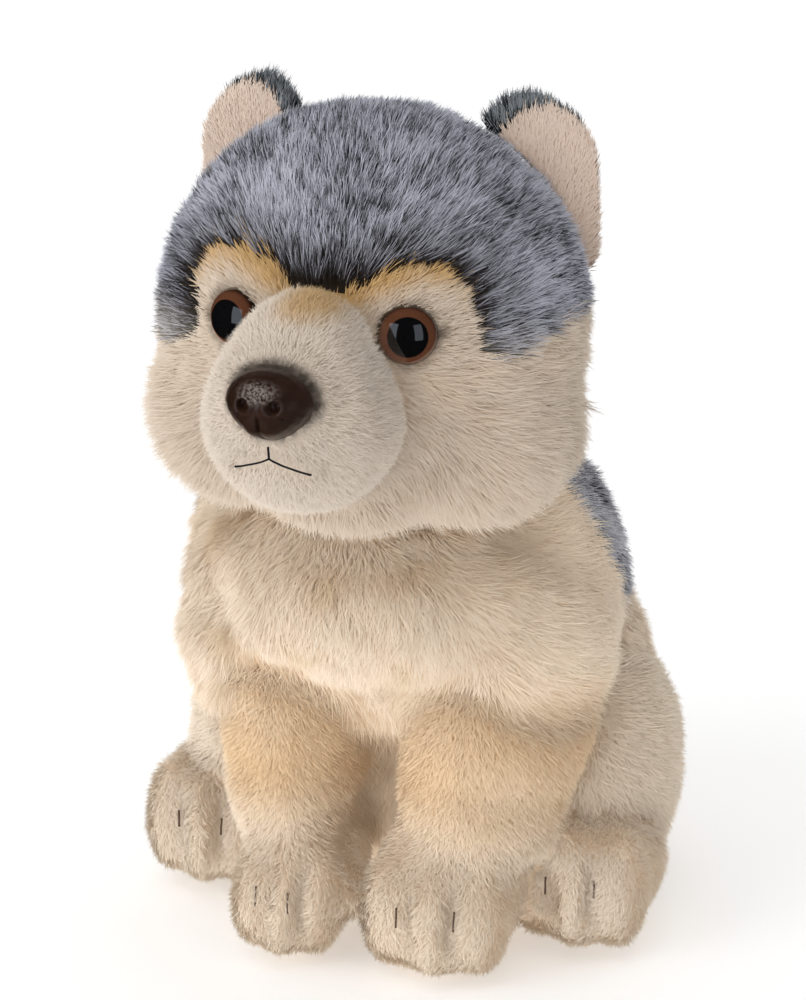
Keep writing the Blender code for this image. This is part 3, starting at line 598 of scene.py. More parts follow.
FACE = cream_pile("face_pile", (0.58, 0.45, 0.33), (0.67, 0.56, 0.45), (0.75, 0.66, 0.56), warm=(0.58, 0.34, 0.09),
                  patches=0.20, fleck=0.22, dark=(0.05, 0.032, 0.022))
SNOUT = cream_pile("muzzle_pile", (0.63, 0.53, 0.43), (0.71, 0.62, 0.53), (0.77, 0.69, 0.60), warm=(0.58, 0.34, 0.09),
                   patches=0.08, fleck=0.13, dark=(0.022, 0.014, 0.010))
BREAST = cream_pile("breast_pile", (0.88, 0.69, 0.50), (0.93, 0.78, 0.61), (0.97, 0.86, 0.72),
                    patches=0.34, scale=70.0, fleck=0.22)
LEG = cream_pile("leg_pile", (0.90, 0.74, 0.57), (0.93, 0.80, 0.65), (0.96, 0.86, 0.73), warm=(0.92, 0.58, 0.22),
                 patches=0.16, fleck=0.17)
EAR_INSIDE = cream_pile("ear_lining_pile", (0.66, 0.51, 0.41), (0.75, 0.61, 0.51), (0.81, 0.69, 0.60),
                        patches=0.10, fleck=0.08)
CROWN = grey_pile("crown_pile", (0.008, 0.008, 0.009), (0.070, 0.070, 0.082), (0.56, 0.57, 0.65))
SADDLE = grey_pile("saddle_pile", (0.032, 0.034, 0.041), (0.20, 0.20, 0.23), (0.64, 0.64, 0.68))
EAR_DARK = grey_pile("ear_back_pile", (0.009, 0.010, 0.011), (0.030, 0.034, 0.038), (0.24, 0.26, 0.28))

# ---------------------------------------------------------------- head
def head(snout):
    skin = stuffed("head_skin", ("head", "crown_panel", "left_eye", "right_eye", "left_eye_washer", "right_eye_washer"))
    points, normals = corners_of(skin), normals_of(skin)
    y, z = points[:, 1], points[:, 2]
    face_tree, crown_tree = tree_of("head"), tree_of("crown_panel")
    near_eye = from_eyes(points)
    snout_tree = BVHTree.FromPolygons([v.co[:] for v in snout.vertices], [p.vertices[:] for p in snout.polygons])
    muzzle = away(snout_tree, points)
    for k, p in enumerate(points):
        spot, way = snout_tree.find_nearest(Vector(p))[:2]
        muzzle[k] *= (Vector(p) - spot).dot(way) > 0
    body = away(tree_of("torso", "back_panel"), points)
    ears = away(tree_of("left_ear_lining", "right_ear_lining", "left_ear_back", "right_ear_back"), points)
    edge = away(crown_tree, points)
    bridge = np.array([NOSE_MIDDLE.x, -0.0835, 0.166])
    comb = points - bridge
    comb = tangent(comb / np.linalg.norm(comb, axis=1, keepdims=True)
                   + np.array([0, 0.2, -1.0]) * (0.25 + 1.1 * rise(y, -0.0485, 0.0065)[:, None])
                   * rise(0.195 - z, -0.02, 0.03)[:, None], normals)
    comb = tangent(comb + 0.35 * waves(points, 55.0, 1) + 0.15 * waves(points, 170.0, 9), normals)
    bare = EYE_WIDTH / 2
    thick = rise(near_eye, bare - 0.0008, bare) * rise(muzzle, 0.0003, 0.0009) \
        * rise(body, 0.0003, 0.0009) * rise(ears, 0.0003, 0.0010)
    trim = rise(near_eye, bare - 0.001, bare + 0.010)
    trim_muzzle = rise(muzzle, 0.0, 0.010)
    front = rise(-y, 0.0135, 0.0335)
    brow_near = rise(0.009 - edge, 0.0, 0.007) * front
    fluff = rise(0.172 - z, 0.0, 0.026) * rise(near_eye, 0.012, 0.030) * trim_muzzle
    stand = 0.0013 + 0.0024 * trim * (0.4 + 0.6 * trim_muzzle) * (1 - 0.45 * brow_near) + 0.0020 * fluff
    reach = 0.0022 + 0.0050 * trim * (0.5 + 0.5 * trim_muzzle) * (1 - 0.55 * brow_near) + 0.0034 * fluff
    on_crown = np.zeros(len(points))
    shifted = points + comb * (reach * 0.75)[:, None] + 0.0012 * waves(points, 300.0, 2)
    across, upward = in_view(points)
    lower = (normals @ np.array(CAMERA_BACK) > -0.2) * np.maximum(
        0.0100 * np.exp(-(((across + 0.0570) / 0.0090) ** 2 + ((upward - 0.0440) / 0.0085) ** 2)),
        0.0060 * np.exp(-(((across - 0.0215) / 0.0080) ** 2 + ((upward - 0.0420) / 0.0100) ** 2)))
    for k, p in enumerate(shifted):
        a, b = face_tree.find_nearest(Vector(p))[3], crown_tree.find_nearest(Vector(p))[3]
        on_crown[k] = 1.0 if b < a + lower[k] else 0.0
    on_crown[(body < 0.010) & (y > 0.004)] = 1.0
    edge_face = away(face_tree, points)
    stand = np.where(on_crown > 0.5, 0.0033, stand)
    reach = np.where(on_crown > 0.5, 0.0066 + 0.0030 * rise(0.008 - edge_face, 0.0, 0.006) * front, reach)
    # The ochre airbrush over the brows, and the dark fringe of the crown above it.
    brow = 0.85 * rise(0.0085 - edge, 0.0, 0.0060) * front * rise(z, 0.178, 0.186)
    fringe = rise(0.0085 - edge_face, 0.0, 0.007) * front * (0.30 + 0.70 * rise(z, 0.166, 0.182))
    temple = rise(0.010 - edge_face, 0.0, 0.008) * rise(0.176 - z, -0.004, 0.006) * (1 - front * 0.3)
    # Painted shade: a dark band in the fur along the muzzle's edge.
    muzzle_seam_shade = rise(0.004 - np.abs(muzzle - 0.001), 0.0, 0.003) * 0.12
    # Painted shadow: a dark ring in the fur round each eye's socket.
    socket = rise(bare + 0.0010 - near_eye, 0.0, 0.0010) * 0.62
    # Painted shade: dark patches in the fur beside each eye, low on the nose side and level on the far side.
    eye_corner_shade = np.zeros(len(points))
    for sign, (middle, _) in zip((1, -1), EYES.values()):
        for across, down, size in ((-0.98, -0.55, 0.0030), (1.05, 0.02, 0.0024)):
            spot = np.array(middle) + bare * np.array([sign * across, 0.0, down])
            rel = points - spot
            near = rise(size - np.hypot(rel[:, 0], rel[:, 2]), 0.0, size)
            eye_corner_shade = np.maximum(eye_corner_shade, near * (rel[:, 1] < 0.02))
    eye_corner_shade *= rise(bare + 0.004 - near_eye, 0.0, 0.002)
    marks = dict(comb=comb, reach=reach, stand=stand, loose=0.3 + 0.7 * trim, girth=np.ones(len(points)))
    sunk(skin, np.where(near_eye < bare - 0.0002, 0.0022, 1.02 * stand))
    cream = marked(skin, thick=thick * (1 - on_crown), warm=brow * 0.92,
                   shade=np.clip(muzzle_seam_shade + socket + 0.85 * eye_corner_shade, 0, 1), **marks)
    plush("face", cream, FACE, "face_fur", ["head"], 11, 0.9, tuft=150.0, pull=0.26, strand=560.0, gather=0.42,
          swirl=0.42, wander=0.0034, wander_scale=120.0)
    grey = marked(skin, thick=thick * on_crown, warm=0.35 * temple, shade=0.95 * fringe, **marks)
    put(grey, corners_of(grey) + PANEL_LIFT * normals_of(grey))
    grey = patch_of(grey, on_crown > 0.5)
    plush("crown", grey, CROWN, "grey_fur", ["crown_panel"], 12, 0.9, density=1.15, swirl=0.30,
          tuft=210.0, pull=0.22, strand=620.0, gather=0.50, wander=0.0034, wander_scale=170.0)


def muzzle_skin():
    """The stuffed muzzle: a ball whose upper half narrows towards the brows."""
    skin = stuffed("muzzle_skin", ("muzzle", "nose", "nose_washer"), 0.0015, 6)
    points = corners_of(skin)
    middle = (nose_low.x + nose_high.x) / 2
    narrow = 1 - 0.23 * rise(points[:, 2], 0.154, 0.180) * rise(points[:, 1], -0.100, -0.078)
    points[:, 0] = middle + (points[:, 0] - middle) * narrow
    put(skin, points, True)
    return skin


def muzzle(skin):
    points, normals = corners_of(skin), normals_of(skin)
    x, y, z = points.T
    nose = away(tree_of("nose"), points)
    skull = away(tree_of("head", "crown_panel"), points)
    mouth = away(tree_of("mouth_stitching"), points)
    middle = (nose_low.x + nose_high.x) / 2
    comb = points - np.array([middle, -0.1155, 0.176])
    comb = tangent(comb + 0.006 * np.array([0, 0, -1.0]), normals)
    comb = tangent(comb + 0.25 * waves(points, 70.0, 3), normals)
    off_nose = np.hypot((x - NOSE_MIDDLE.x) / ((nose_high.x - nose_low.x) / 2),
                        (z - NOSE_MIDDLE.z) / ((nose_high.z - nose_low.z) / 2)) + 1.0 * (y > -0.088)
    thick = rise(nose, 0.0003, 0.0009) * rise(skull, 0.0002, 0.0006) * (off_nose > 0.86)
    short = rise(nose, 0.0, 0.006) * (0.30 + 0.70 * rise(mouth, 0.0003, 0.004))
    stand, reach = 0.0006 + 0.0016 * short, 0.0010 + 0.0022 * short
    thick *= 0.15 + 0.85 * rise(mouth, 0.0009, 0.0022)
    above = 0.40 + 0.60 * rise(0.4 * (x - NOSE_MIDDLE.x) + z - NOSE_MIDDLE.z, -0.003, 0.004)
    shade = 0.90 * above * rise(0.0017 - nose, 0.0, 0.0010)
    warm = 0.70 * rise(z, 0.1850, 0.1895) * rise(0.013 - np.abs(x - middle - 0.005), 0.0, 0.009)
    sunk(skin, np.where((nose < 0.0006) | (off_nose < 0.86), 0.0045, 0.95 * stand))
    plush("snout", marked(skin, comb=comb, reach=reach, stand=stand, thick=thick, warm=warm, shade=shade,
                          loose=0.3 + 0.7 * short, girth=np.full(len(points), 0.85)),
          SNOUT, "muzzle_fur", ["muzzle"], 13, 0.95, density=1.25, width=0.9, tuft=240.0, pull=0.10, gather=0.15,
          wander=0.0012, wander_scale=180.0, swirl=0.8, lean=0.30)


# ---------------------------------------------------------------- body
COVERS = ("torso", "back_panel", "left_front_leg", "right_front_leg", "left_haunch", "right_haunch",
          "left_hind_foot", "right_hind_foot", "tail")


def folds(points, stitches):
    """1 in the fold that runs up a paw from each toe stitch, 0 beside it."""
    out = np.zeros(len(points))
    for stitch in stitches:
        low, high = (np.array(c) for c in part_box(stitch))
        middle = (low + high) / 2
        height = rise(points[:, 2], low[2] - 0.010, low[2] - 0.002) * rise(high[2] + 0.010 - points[:, 2], 0.0, 0.008)
        ahead = rise(middle[1] + 0.014 - points[:, 1], 0.0, 0.005)
        out = np.maximum(out, rise(0.0040 - np.abs(points[:, 0] - middle[0]), 0.0, 0.0040) * height * ahead)
    return out


def paw_push(points):
    """How far each point of the front legs moves towards the wolf's right."""
    x, y, z = points.T
    ahead = rise(-y, 0.004, 0.014)
    right = rise(0.0035 - x, 0.0, 0.006) * rise(0.068 - z, 0.0, 0.026) * rise(x, -0.052, -0.046)
    left = rise(x, 0.001, 0.004) * rise(0.026 - x, 0.0, 0.016) * rise(0.042 - z, 0.0, 0.014)
    return ahead * (0.0040 * right + 0.0038 * left)


def body():
    """The cover over barrel, legs and tail: one skin, so that its folds are soft, parted by panel."""
    skin = swollen(stuffed("body_skin", COVERS))
    # The breast hangs straight down from the cheek on the wolf's right, and the paws stand a little that way.
    points = corners_of(skin)
    across, upward = in_view(points)
    side = rise(-across, 0.020, 0.042) * rise(points[:, 2], 0.050, 0.062)
    push = side * np.interp(upward, (-0.053, -0.046, -0.035, -0.022, -0.012, -0.003, 0.010, 0.018),
                            (0.0, 0.0055, 0.0036, 0.0012, 0.0030, 0.0052, 0.0046, 0.0))
    push = np.maximum(push, paw_push(points))
    points -= push[:, None] * np.array(ACROSS)
    put(skin, points, True)
    points, normals = corners_of(skin), normals_of(skin)
    trees = [tree_of(node) for node in COVERS]
    gaps = np.stack([away(tree, points, 0.03) for tree in trees])
    near = np.exp(-(gaps - gaps.min(0)) / 0.0022)
    near /= near.sum(0)
    torso, saddle, legs, haunches = near[0], near[1], near[2] + near[3], near[4] + near[5]
    feet, tail = near[6] + near[7], near[8]
    head_gap = away(tree_of("head", "crown_panel"), points)
    x, y, z = points.T
    ones = np.ones(len(points))

    def flow(*way):
        return np.array(way) * ones[:, None]

    # The breast is combed down in whirls, and its left flank back along the ribs.
    flank = rise(x, 0.022, 0.045) * rise(z, 0.055, 0.075) * rise(-y, -0.02, 0.01)
    paw = rise(0.034 - z, 0.0, 0.012)[:, None]
    bend = rise(-x, -0.005, 0.03)[:, None]
    whirls = 0.60 * waves(points, 34.0, 4) + 0.30 * waves(points, 90.0, 14)
    comb = torso[:, None] * (flow(0, 0, -1.0) + flow(0, 0.5, 0) * rise(y, -0.0035, 0.0365)[:, None]
                             + flow(0.9, 1.0, 0.35) * flank[:, None] + whirls) \
        + saddle[:, None] * (flow(0, 0.5, -1.0) + 0.5 * whirls) \
        + legs[:, None] * (flow(0, 0, -1.0) + flow(0, -1.4, 0.2) * paw + 0.35 * whirls) \
        + haunches[:, None] * (flow(0, 0.5, -1.0) + 0.5 * whirls) \
        + feet[:, None] * (flow(0, -1.0, -0.5) + 0.3 * whirls) \
        + tail[:, None] * ((1 - bend) * flow(-0.7, 1.0, -0.1) + bend * flow(-1.0, -0.6, 0) + 0.3 * whirls)
    comb = tangent(comb, normals)
    breast = torso * rise(-y, 0.0035, 0.0285) * rise(z, 0.045, 0.062)
    overhang = (torso > 0.5) * rise(0.012 - np.minimum(gaps[2], gaps[3]), 0.0, 0.010) * rise(-y, 0.0, 0.02)
    stitches = [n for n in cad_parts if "_stitch_" in n]
    stitch = away(tree_of(*stitches), points)
    fold = folds(points, stitches)
    short = (0.60 + 0.40 * rise(stitch, 0.0003, 0.002)) * (1 - 0.30 * fold) * (1 - 0.20 * paw[:, 0] * (legs + feet))
    panels = (torso, saddle, legs, haunches, feet, tail)

    def blend(*values):
        """One value a panel, blended where the panels meet."""
        return sum(value * share for value, share in zip(values, panels))

    stand = blend(0.0036, 0.0033, 0.0028, 0.0032, 0.0028, 0.0038) * short
    reach = blend(0.0064, 0.0064, 0.0034, 0.0050, 0.0034, 0.0080) * short + 0.0012 * breast + 0.0060 * overhang
    loose = 0.95 * torso * (1 - 0.55 * flank) + 0.9 * saddle + 0.45 * legs + 0.75 * haunches + 0.5 * feet + tail
    zone = gaps.argmin(0)
    grey_tree, cream_tree = trees[1], trees[0]
    upper = np.where(zone < 2)[0]
    shifted = points + comb * (reach * 0.70)[:, None] + 0.0014 * waves(points, 260.0, 5)
    for k in upper:
        p = Vector(shifted[k])
        zone[k] = 1 if grey_tree.find_nearest(p)[3] < cream_tree.find_nearest(p)[3] else 0
    zone[(zone == 0) & (head_gap < 0.012) & (y > 0.006)] = 1
    # Random swirl patches on the breast: an ochre tone, and painted shade as in the hollows between clumps.
    swirl_tone_and_shade = rise(drop_of(points, 75.0, 16), 0.56, 0.74) * breast * (1 - flank)
    # Painted shade between the front legs.
    between_legs_shade = rise(0.007 - np.maximum(gaps[2], gaps[3]), 0.0, 0.006)
    # Painted shade where two panels of the cover meet.
    crease_shade = rise(0.0030 - (np.sort(gaps, 0)[1] - gaps.min(0)), 0.0, 0.0030) * (zone != 1)
    top = rise(z, 0.030, 0.056)
    middles = [sum(Vector(c).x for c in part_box(side + "_front_leg")) / 2 for side in ("left", "right")]
    seam = np.maximum(*(rise(0.0013 - np.abs(x - m), 0.0, 0.0013) for m in middles)) * legs * top * (y < -0.02)
    warm = legs * 0.55 * top * (0.35 + 0.65 * drop_of(points, 45.0, 7)) + 0.22 * swirl_tone_and_shade + 0.05 * legs
    # Painted shadow on the tops of the front legs, under the breast's overhang.
    under = rise(0.0070 - gaps[0], 0.0, 0.0055) * legs * (y < 0.0)
    # Painted shade also under the head, in the folds up the paws and round the toe stitches; besides, darker along each
    # front leg's middle seam and on the tail towards the wolf's right.
    shade = 0.10 * swirl_tone_and_shade + 0.16 * under + 0.10 * crease_shade * (legs + haunches + feet) + 0.30 * between_legs_shade + 0.14 * seam \
        + 0.04 * rise(0.012 - head_gap, 0.0, 0.012) + 0.12 * fold * (legs + feet) \
        + 0.30 * rise(0.0014 - stitch, 0.0, 0.0012) + 0.30 * tail * rise(-x, 0.030, 0.055)
    sole = rise(-normals[:, 2], 0.70, 0.92) * rise(0.004 - z, 0.0, 0.002)
    thick = rise(head_gap, 0.0003, 0.0009) * (1 - sole)
    hidden = rise(-normals[:, 2], 0.3, 0.8) * rise(z, 0.004, 0.010) * (y > -0.03)
    thick *= 1 - 0.6 * hidden
    depth = stand + 0.0026 * fold
    sunk(skin, np.minimum(depth, np.maximum(z - 0.0006, 0.0) + depth * (normals[:, 2] > -0.3)))
    low = corners_of(skin)
    low[:, 2] = np.maximum(low[:, 2], BACKING_FLOOR)
    put(skin, low)
    marks = dict(comb=comb, reach=reach, stand=stand, loose=loose, warm=np.clip(warm, 0, 1), shade=np.clip(shade, 0, 1),
                 girth=ones)
    names = ("breast", "saddle", "left_foreleg", "right_foreleg", "left_thigh", "right_thigh", "left_foot",
             "right_foot", "brush")
    for k, (name, node) in enumerate(zip(names, COVERS)):
        grey = name in ("saddle", "brush")
        legged = 2 <= k <= 7
        sizes = dict(tuft=150.0, pull=0.16, strand=560.0, gather=0.22, wander=0.0020, wander_scale=140.0, swirl=0.85,
                     lean=0.30) if legged else \
            dict(tuft=125.0, pull=0.28, strand=500.0, gather=0.40, wander=0.0040, wander_scale=90.0, swirl=0.55)
        cover = marked(skin, thick=thick * (zone == k), **marks)
        if k:
            put(cover, corners_of(cover) + 0.00015 * normals_of(cover))
            cover = patch_of(cover, zone == k)
        plush(name, cover, SADDLE if grey else LEG if legged else BREAST,
              "grey_fur" if grey else "body_fur" if k in (0, 4, 5) else "leg_fur", [node], 21 + k, 0.9, **sizes)


def ears():
    for side, sign in (("left", 1), ("right", -1)):
        nodes = [f"{side}_ear_lining", f"{side}_ear_back"]
        skin = stuffed(side + "_ear_skin", nodes, 0.0011, 5)
        points, normals = corners_of(skin), normals_of(skin)
        lining = away(tree_of(nodes[0]), points)
        back = away(tree_of(nodes[1]), points)
        skull = away(tree_of("head", "crown_panel"), points)
        corners = np.array([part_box(n) for n in nodes])
        low, high = corners[:, 0].min(0), corners[:, 1].max(0)
        middle = (low + high) / 2
        height = (points[:, 2] - low[2]) / (high[2] - low[2])
        inward = -sign * (points[:, 0] - middle[0]) / ((high[0] - low[0]) / 2)
        outer = rise(-inward, -0.4, 0.6)
        rel = points - np.array([middle[0], middle[1], low[2] + 0.004])
        comb = tangent(np.array([0, 0, 0.6]) + rel / np.linalg.norm(rel, axis=1, keepdims=True)
                       + 0.2 * waves(points, 80.0, 51), normals)
        thick = rise(skull, 0.0003, 0.0009)
        # The dark back comes round the inner and upper edge; the light lining round the outer one.
        turn = 0.75 * inward + 0.75 * (2 * height - 1.0)
        dark = back - 0.0022 * rise(turn, 0.45, 1.0) + 0.0026 * rise(-turn, -0.45, 0.10) < lining
        dark = np.where(dark, 1.0, 0.0)
        rim = rise(0.0035 - np.maximum(lining, back), 0.0, 0.003)
        stand = np.where(dark > 0.5, 0.0016, 0.0011) * (1 + 0.5 * rim)
        reach = np.where(dark > 0.5, 0.0040, 0.0027) * (1 + 0.25 * rim)
        # The real ear is broad above, and its outer edge runs further down the head.
        points[:, 0] += sign * (0.0030 * rise(height, 0.35, 0.75) + 0.0015 * rise(0.5 - height, 0.0, 0.45)) * outer
        points[:, 2] -= 0.0055 * rise(0.5 - height, 0.0, 0.45) * outer
        put(skin, points, True)
        sunk(skin, np.minimum(0.7 * stand, 0.0009))
        marks = dict(comb=comb, reach=reach, stand=stand, warm=0 * height, loose=np.full(len(points), 0.6),
                     girth=np.full(len(points), 0.9))
        sizes = dict(density=1.3, tuft=320.0, pull=0.15, gather=0.4, wander=0.0012, wander_scale=200.0)
        # Painted shadow on the lining low in the ear, less towards its outer edge.
        ear_base_shadow = 0.45 * rise(0.42 - height, 0.0, 0.36) * (1 - 0.5 * rise(-inward, -0.2, 0.6))
        cover = marked(skin, thick=thick * (1 - dark), shade=ear_base_shadow, **marks)
        plush(side + "_ear_inside", cover, EAR_INSIDE, "ear_lining", [nodes[0]], 51 + (sign > 0), 0.3, **sizes)
        cover = marked(skin, thick=thick * dark, shade=0 * height, **marks)
        put(cover, corners_of(cover) + PANEL_LIFT * normals_of(cover))
        cover = patch_of(cover, dark > 0.5)
        plush(side + "_ear_outside", cover, EAR_DARK, "dark_fur", [nodes[1]], 53 + (sign > 0), 0.3, **sizes)


# ---------------------------------------------------------------- moulded eyes and nose
def round_piece(name, profile, sides, middle, look, up=Vector((0, 0, 1))):
    """A profile of (radius, height) turned about its look."""
    bm = bmesh.new()
    rings = []
    for radius, height in profile:
        if radius < 1e-7:
            rings.append([bm.verts.new((0, 0, height))])
        else:
            rings.append([bm.verts.new((radius * math.cos(2 * math.pi * k / sides),
                                        radius * math.sin(2 * math.pi * k / sides), height)) for k in range(sides)])
    for one, two in zip(rings, rings[1:]):
        for k in range(sides):
            a, b = one[k % len(one)], one[(k + 1) % len(one)]
            c, d = two[(k + 1) % len(two)], two[k % len(two)]
            corners = [a, b, c, d]
            bm.faces.new([v for i, v in enumerate(corners) if v not in corners[:i]])
    z = look.normalized()
    x = up.cross(z).normalized()
    y = z.cross(x)
    turn = Matrix((x, y, z)).transposed().to_4x4()
    bmesh.ops.transform(bm, matrix=Matrix.Translation(middle) @ turn, verts=bm.verts)
    bmesh.ops.recalc_face_normals(bm, faces=bm.faces)
    mesh = bpy.data.meshes.new(name)
    bm.to_mesh(mesh)
    bm.free()
    mesh.shade_smooth()
    return added(name, mesh)


def eye_finish(name, middle, look):
    def wiring(desk):
        rel = desk.vector("SUBTRACT", desk.place(), tuple(middle))
        depth = desk.vector("DOT_PRODUCT", rel, tuple(look)).of("Value")
        length = desk.node("ShaderNodeVectorMath", {"operation": "LENGTH"}, {0: rel}).of("Value")
        across = (length * length - depth * depth).sum("MAXIMUM", length * length - depth * depth, 0.0) ** 0.5
        share = across / (EYE_WIDTH / 2)
        streak = desk.cloud(desk.place(), 900.0, 3.0)
        iris = desk.mix(streak * 0.5, (0.120, 0.046, 0.024), (0.070, 0.025, 0.013))
        # Painted shadow: the iris darkens to near black towards its rim.
        iris = desk.mix(desk.band(share, 0.84, 0.97), iris, (0.012, 0.006, 0.004))
        return {"Base Color": desk.mix(desk.band(share, 0.635, 0.675), (0.0035, 0.0035, 0.004), iris)}
    return finish_of(name, wiring, Roughness=0.06, Coat_Weight=1.0, Coat_Roughness=0.02, Specular_IOR_Level=0.5)


def eyes():
    for side, (middle, look) in EYES.items():
        radius, rim = EYE_WIDTH / 2, 0.0010
        profile = [(0, EYE_DOME)] + [(radius * math.sin(a), rim + (EYE_DOME - rim) * math.cos(a))
                                     for a in (math.radians(4.5 * k) for k in range(1, 21))]
        profile += [(radius - 0.0003, 0), (0, 0)]
        made = round_piece(side + "_eye_dome", profile, 72, middle, look)
        made.data.materials.append(eye_finish(side + "_eye_gloss", middle, look))
        claimed(made, "eye", side + "_eye")


def nose():
    """The moulded nose: a full pad with two rimmed nostrils, a slit under each and a groove between its lips."""
    solid = solid_of("nose")
    bm = bmesh.new()
    bm.from_mesh(solid)
    bmesh.ops.delete(bm, geom=[v for v in bm.verts if v.co.y > nose_low.y + 0.0115], context="VERTS")
    whole = bmesh.ops.convex_hull(bm, input=bm.verts)
    bmesh.ops.delete(bm, geom=list(set(whole["geom_interior"] + whole["geom_unused"])), context="VERTS")
    bmesh.ops.delete(bm, geom=[f for f in bm.faces if f not in set(whole["geom"])], context="FACES_ONLY")
    bmesh.ops.recalc_face_normals(bm, faces=bm.faces)
    mesh = bpy.data.meshes.new("nose_pad")
    bm.to_mesh(mesh)
    bm.free()
    obj = added("nose_pad", mesh)
    obj.data = gridded(obj, NOSE_GRID, 12)
    points = corners_of(obj.data)
    x, z = points[:, 0] - NOSE_MIDDLE.x, points[:, 2] - NOSE_MIDDLE.z
    front = rise(nose_low.y + 0.008 - points[:, 1], 0.0, 0.003)
    deep = np.zeros(len(points))
    for side in (1, -1):
        u, v = side * x - 0.0036, z - 0.0022
        far = np.hypot(u, v)
        deep += 0.0022 * rise(0.00165 - far, 0.0, 0.0008) - 0.00055 * np.exp(-((far - 0.0022) / 0.00060) ** 2)
        # The slit leaves the nostril down and outwards, and the lip swells below it.
        reach = np.clip((u * 0.55 - v * 0.83) / 0.0036, 0.0, 1.0)
        off = np.hypot(u - 0.0020 * reach, v + 0.0030 * reach + 0.0004 * np.sin(3.14 * reach))
        deep += 0.0007 * rise(0.00045 - off, 0.0, 0.0004)
        deep -= 0.0011 * np.exp(-((side * x - 0.0022) / 0.0017) ** 2 - ((z + 0.0042) / 0.0022) ** 2)
    deep += 0.0014 * rise(0.00050 - np.abs(x), 0.0, 0.00045) * rise(0.0006 - z, 0.0, 0.002)
    points[:, 1] += deep * front
    put(obj.data, points)
    obj.data.shade_smooth()

    def wiring(desk):
        place = desk.place()
        grain = desk.node("ShaderNodeTexVoronoi", {"feature": "SMOOTH_F1"},
                          {"Vector": place, "Scale": 3600.0}).of("Distance")
        broad = desk.cloud(place, 300.0, 3.0)
        bridge = (NOSE_MIDDLE.x - 0.0006, nose_low.y + 0.0015, NOSE_MIDDLE.z + 0.0050)
        rel = desk.vector("MULTIPLY", desk.vector("SUBTRACT", place, bridge), (0.75, 0.6, 1.6))
        off = desk.node("ShaderNodeVectorMath", {"operation": "LENGTH"}, {0: rel}).of("Value")
        # The frosted patch over the nose's bridge: rougher, and a painted highlight in its lighter colour.
        frost_and_painted_highlight = desk.band(off, 0.0010, 0.0050, 1.0, 0.0) * desk.band(desk.cloud(place, 1500.0, 2.0), 0.35, 0.65)
        tone = desk.mix(broad, (0.015, 0.007, 0.004), (0.044, 0.019, 0.012))
        return {"Base Color": desk.mix(frost_and_painted_highlight * 0.75, tone, (0.30, 0.25, 0.23)),
                "Roughness": 0.24 + 0.18 * broad + 0.25 * frost_and_painted_highlight, "Normal": desk.bump(grain, 0.35, 0.0002)}

    obj.data.materials.clear()
    obj.data.materials.append(finish_of("nose_gloss", wiring, Coat_Weight=0.15, Coat_Roughness=0.12,
                                        Specular_IOR_Level=0.45))
    claimed(obj, "nose", "nose")


def threads():
    def ply(desk, dark, light):
        wave = desk.node("ShaderNodeTexWave", {"wave_type": "BANDS", "bands_direction": "DIAGONAL"},
                         {"Vector": desk.place(), "Scale": 900.0, "Distortion": 1.5, "Detail": 1.0})
        return {"Base Color": desk.mix(wave, dark, light), "Normal": desk.bump(wave, 0.6, 0.0001)}

    black = finish_of("mouth_thread", lambda desk: ply(desk, (0.004, 0.005, 0.006), (0.018, 0.020, 0.024)),
                      Roughness=0.6)
    brown = finish_of("toe_thread", lambda desk: ply(desk, (0.060, 0.036, 0.022), (0.150, 0.095, 0.060)),
                      Roughness=0.7)
    nylon = finish_of("washer_nylon", lambda desk: {
        "Base Color": desk.mix(desk.cloud(desk.place(), 200.0), (0.70, 0.70, 0.68), (0.62, 0.62, 0.60))}, Roughness=0.4)
    for name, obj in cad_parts.items():
        if name.endswith("_washer"):
            for slot in obj.material_slots:
                slot.material = nylon
        elif "_stitch" in name:
            mesh = solid_of(name)
            mouth = name == "mouth_stitching"
            deep = 0.0 if mouth else 0.0036 if "outer" in name else 0.0022
            points = corners_of(mesh)
            if "front" in name:
                points -= paw_push(points).mean() * np.array(ACROSS)
            put(mesh, points - THREAD_SLIM * normals_of(mesh) + (0, deep, 0))
            mesh.shade_smooth()
            made = added(name + "_pulled", mesh)
            mesh.materials.clear()
            mesh.materials.append(black if mouth else brown)
            claimed(made, "dark_thread" if mouth else "toe_thread", name)


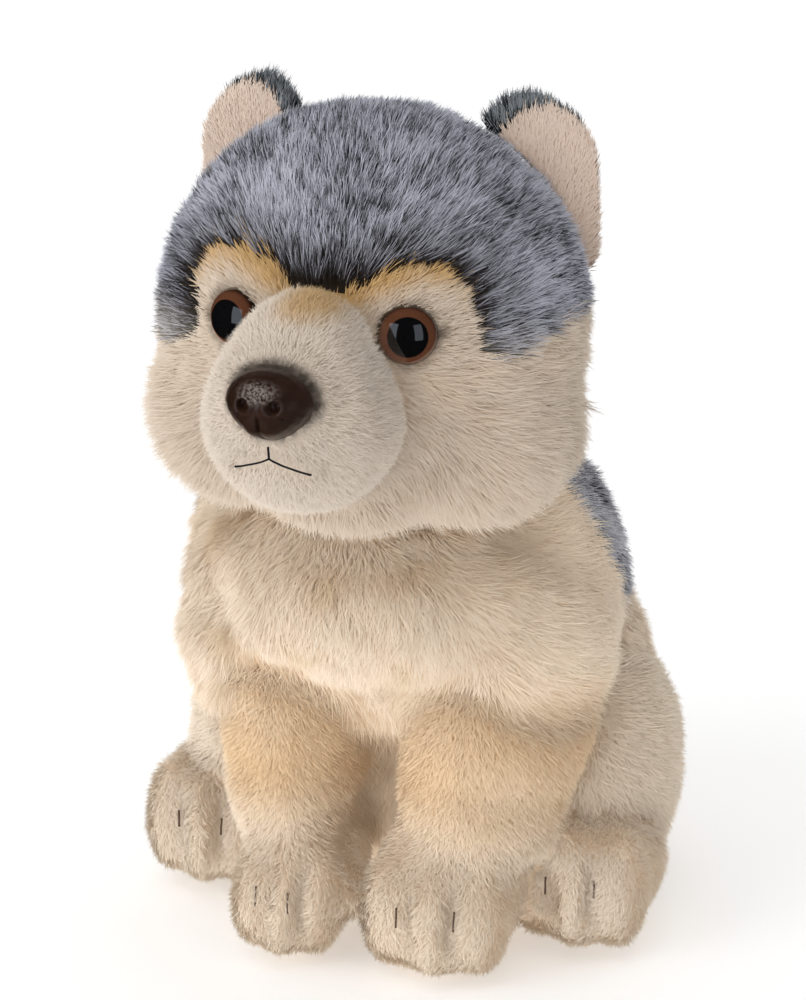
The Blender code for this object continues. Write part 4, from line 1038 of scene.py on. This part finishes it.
# ---------------------------------------------------------------- studio
def studio():
    scene = bpy.context.scene
    scene.view_settings.view_transform = "Standard"
    world = bpy.data.worlds.new("studio")
    scene.world = world
    world.use_nodes = True
    world.node_tree.nodes["Background"].inputs["Color"].default_value = (1.0, 1.0, 1.0, 1)
    world.node_tree.nodes["Background"].inputs["Strength"].default_value = 0.48
    world.cycles_visibility.glossy = False

    def sun(name, towards, strength, spread, shadow=True):
        light = bpy.data.lights.new(name, "SUN")
        light.use_shadow = shadow
        light.energy, light.angle = strength, math.radians(spread)
        obj = added(name, light)
        obj.rotation_euler = Vector(towards).to_track_quat("-Z", "Y").to_euler()
        obj.visible_glossy = False

    def softbox(name, place, aim, width, height, power):
        light = bpy.data.lights.new(name, "AREA")
        light.shape, light.size, light.size_y, light.energy = "RECTANGLE", width, height, power
        light.color = (0.80, 0.88, 1.0)
        obj = added(name, light)
        obj.location = place
        obj.rotation_euler = (Vector(aim) - Vector(place)).to_track_quat("-Z", "Y").to_euler()
        obj.visible_diffuse = False

    sun("key", (0.62, 0.75, -0.42), 0.80, 40)
    sun("top", (0.10, 0.25, -0.95), 0.58, 60)
    sun("fill", (0.36, 0.92, 0.10), 1.05, 60, False)
    sun("back", (-0.10, -0.95, -0.25), 0.55, 60, False)
    # Two windows that only shiny pieces mirror.
    softbox("window_left", (-0.21, -0.60, 0.29), (0, -0.08, 0.165), 0.34, 0.44, 0.55)
    softbox("window_right", (0.50, -0.46, 0.26), (0, -0.08, 0.165), 0.26, 0.46, 0.30)

    mesh = bpy.data.meshes.new("floor")
    mesh.from_pydata([(-6, -6, 0), (6, -6, 0), (6, 6, 0), (-6, 6, 0)], [], [(0, 1, 2, 3)])
    floor = added("floor", mesh)
    mesh.materials.append(finish_of("floor_paper", lambda desk: {"Base Color": (0.95, 0.95, 0.95, 1)}, Roughness=0.9,
                                    Specular_IOR_Level=0.1, Emission_Color=(1, 1, 1, 1), Emission_Strength=0.29))
    floor.visible_glossy = False

    camera = bpy.data.cameras.new("camera")
    camera.lens, camera.sensor_width, camera.clip_start = 144.0, 36.0, 0.05
    seat = added("camera", camera)
    seat.location = CAMERA_TARGET + CAMERA_BACK * CAMERA_FAR
    seat.rotation_euler = (-CAMERA_BACK).to_track_quat("-Z", "Y").to_euler()
    scene.camera = seat


snout_skin = muzzle_skin()
head(snout_skin)
muzzle(snout_skin)
body()
ears()
eyes()
nose()
threads()
studio()
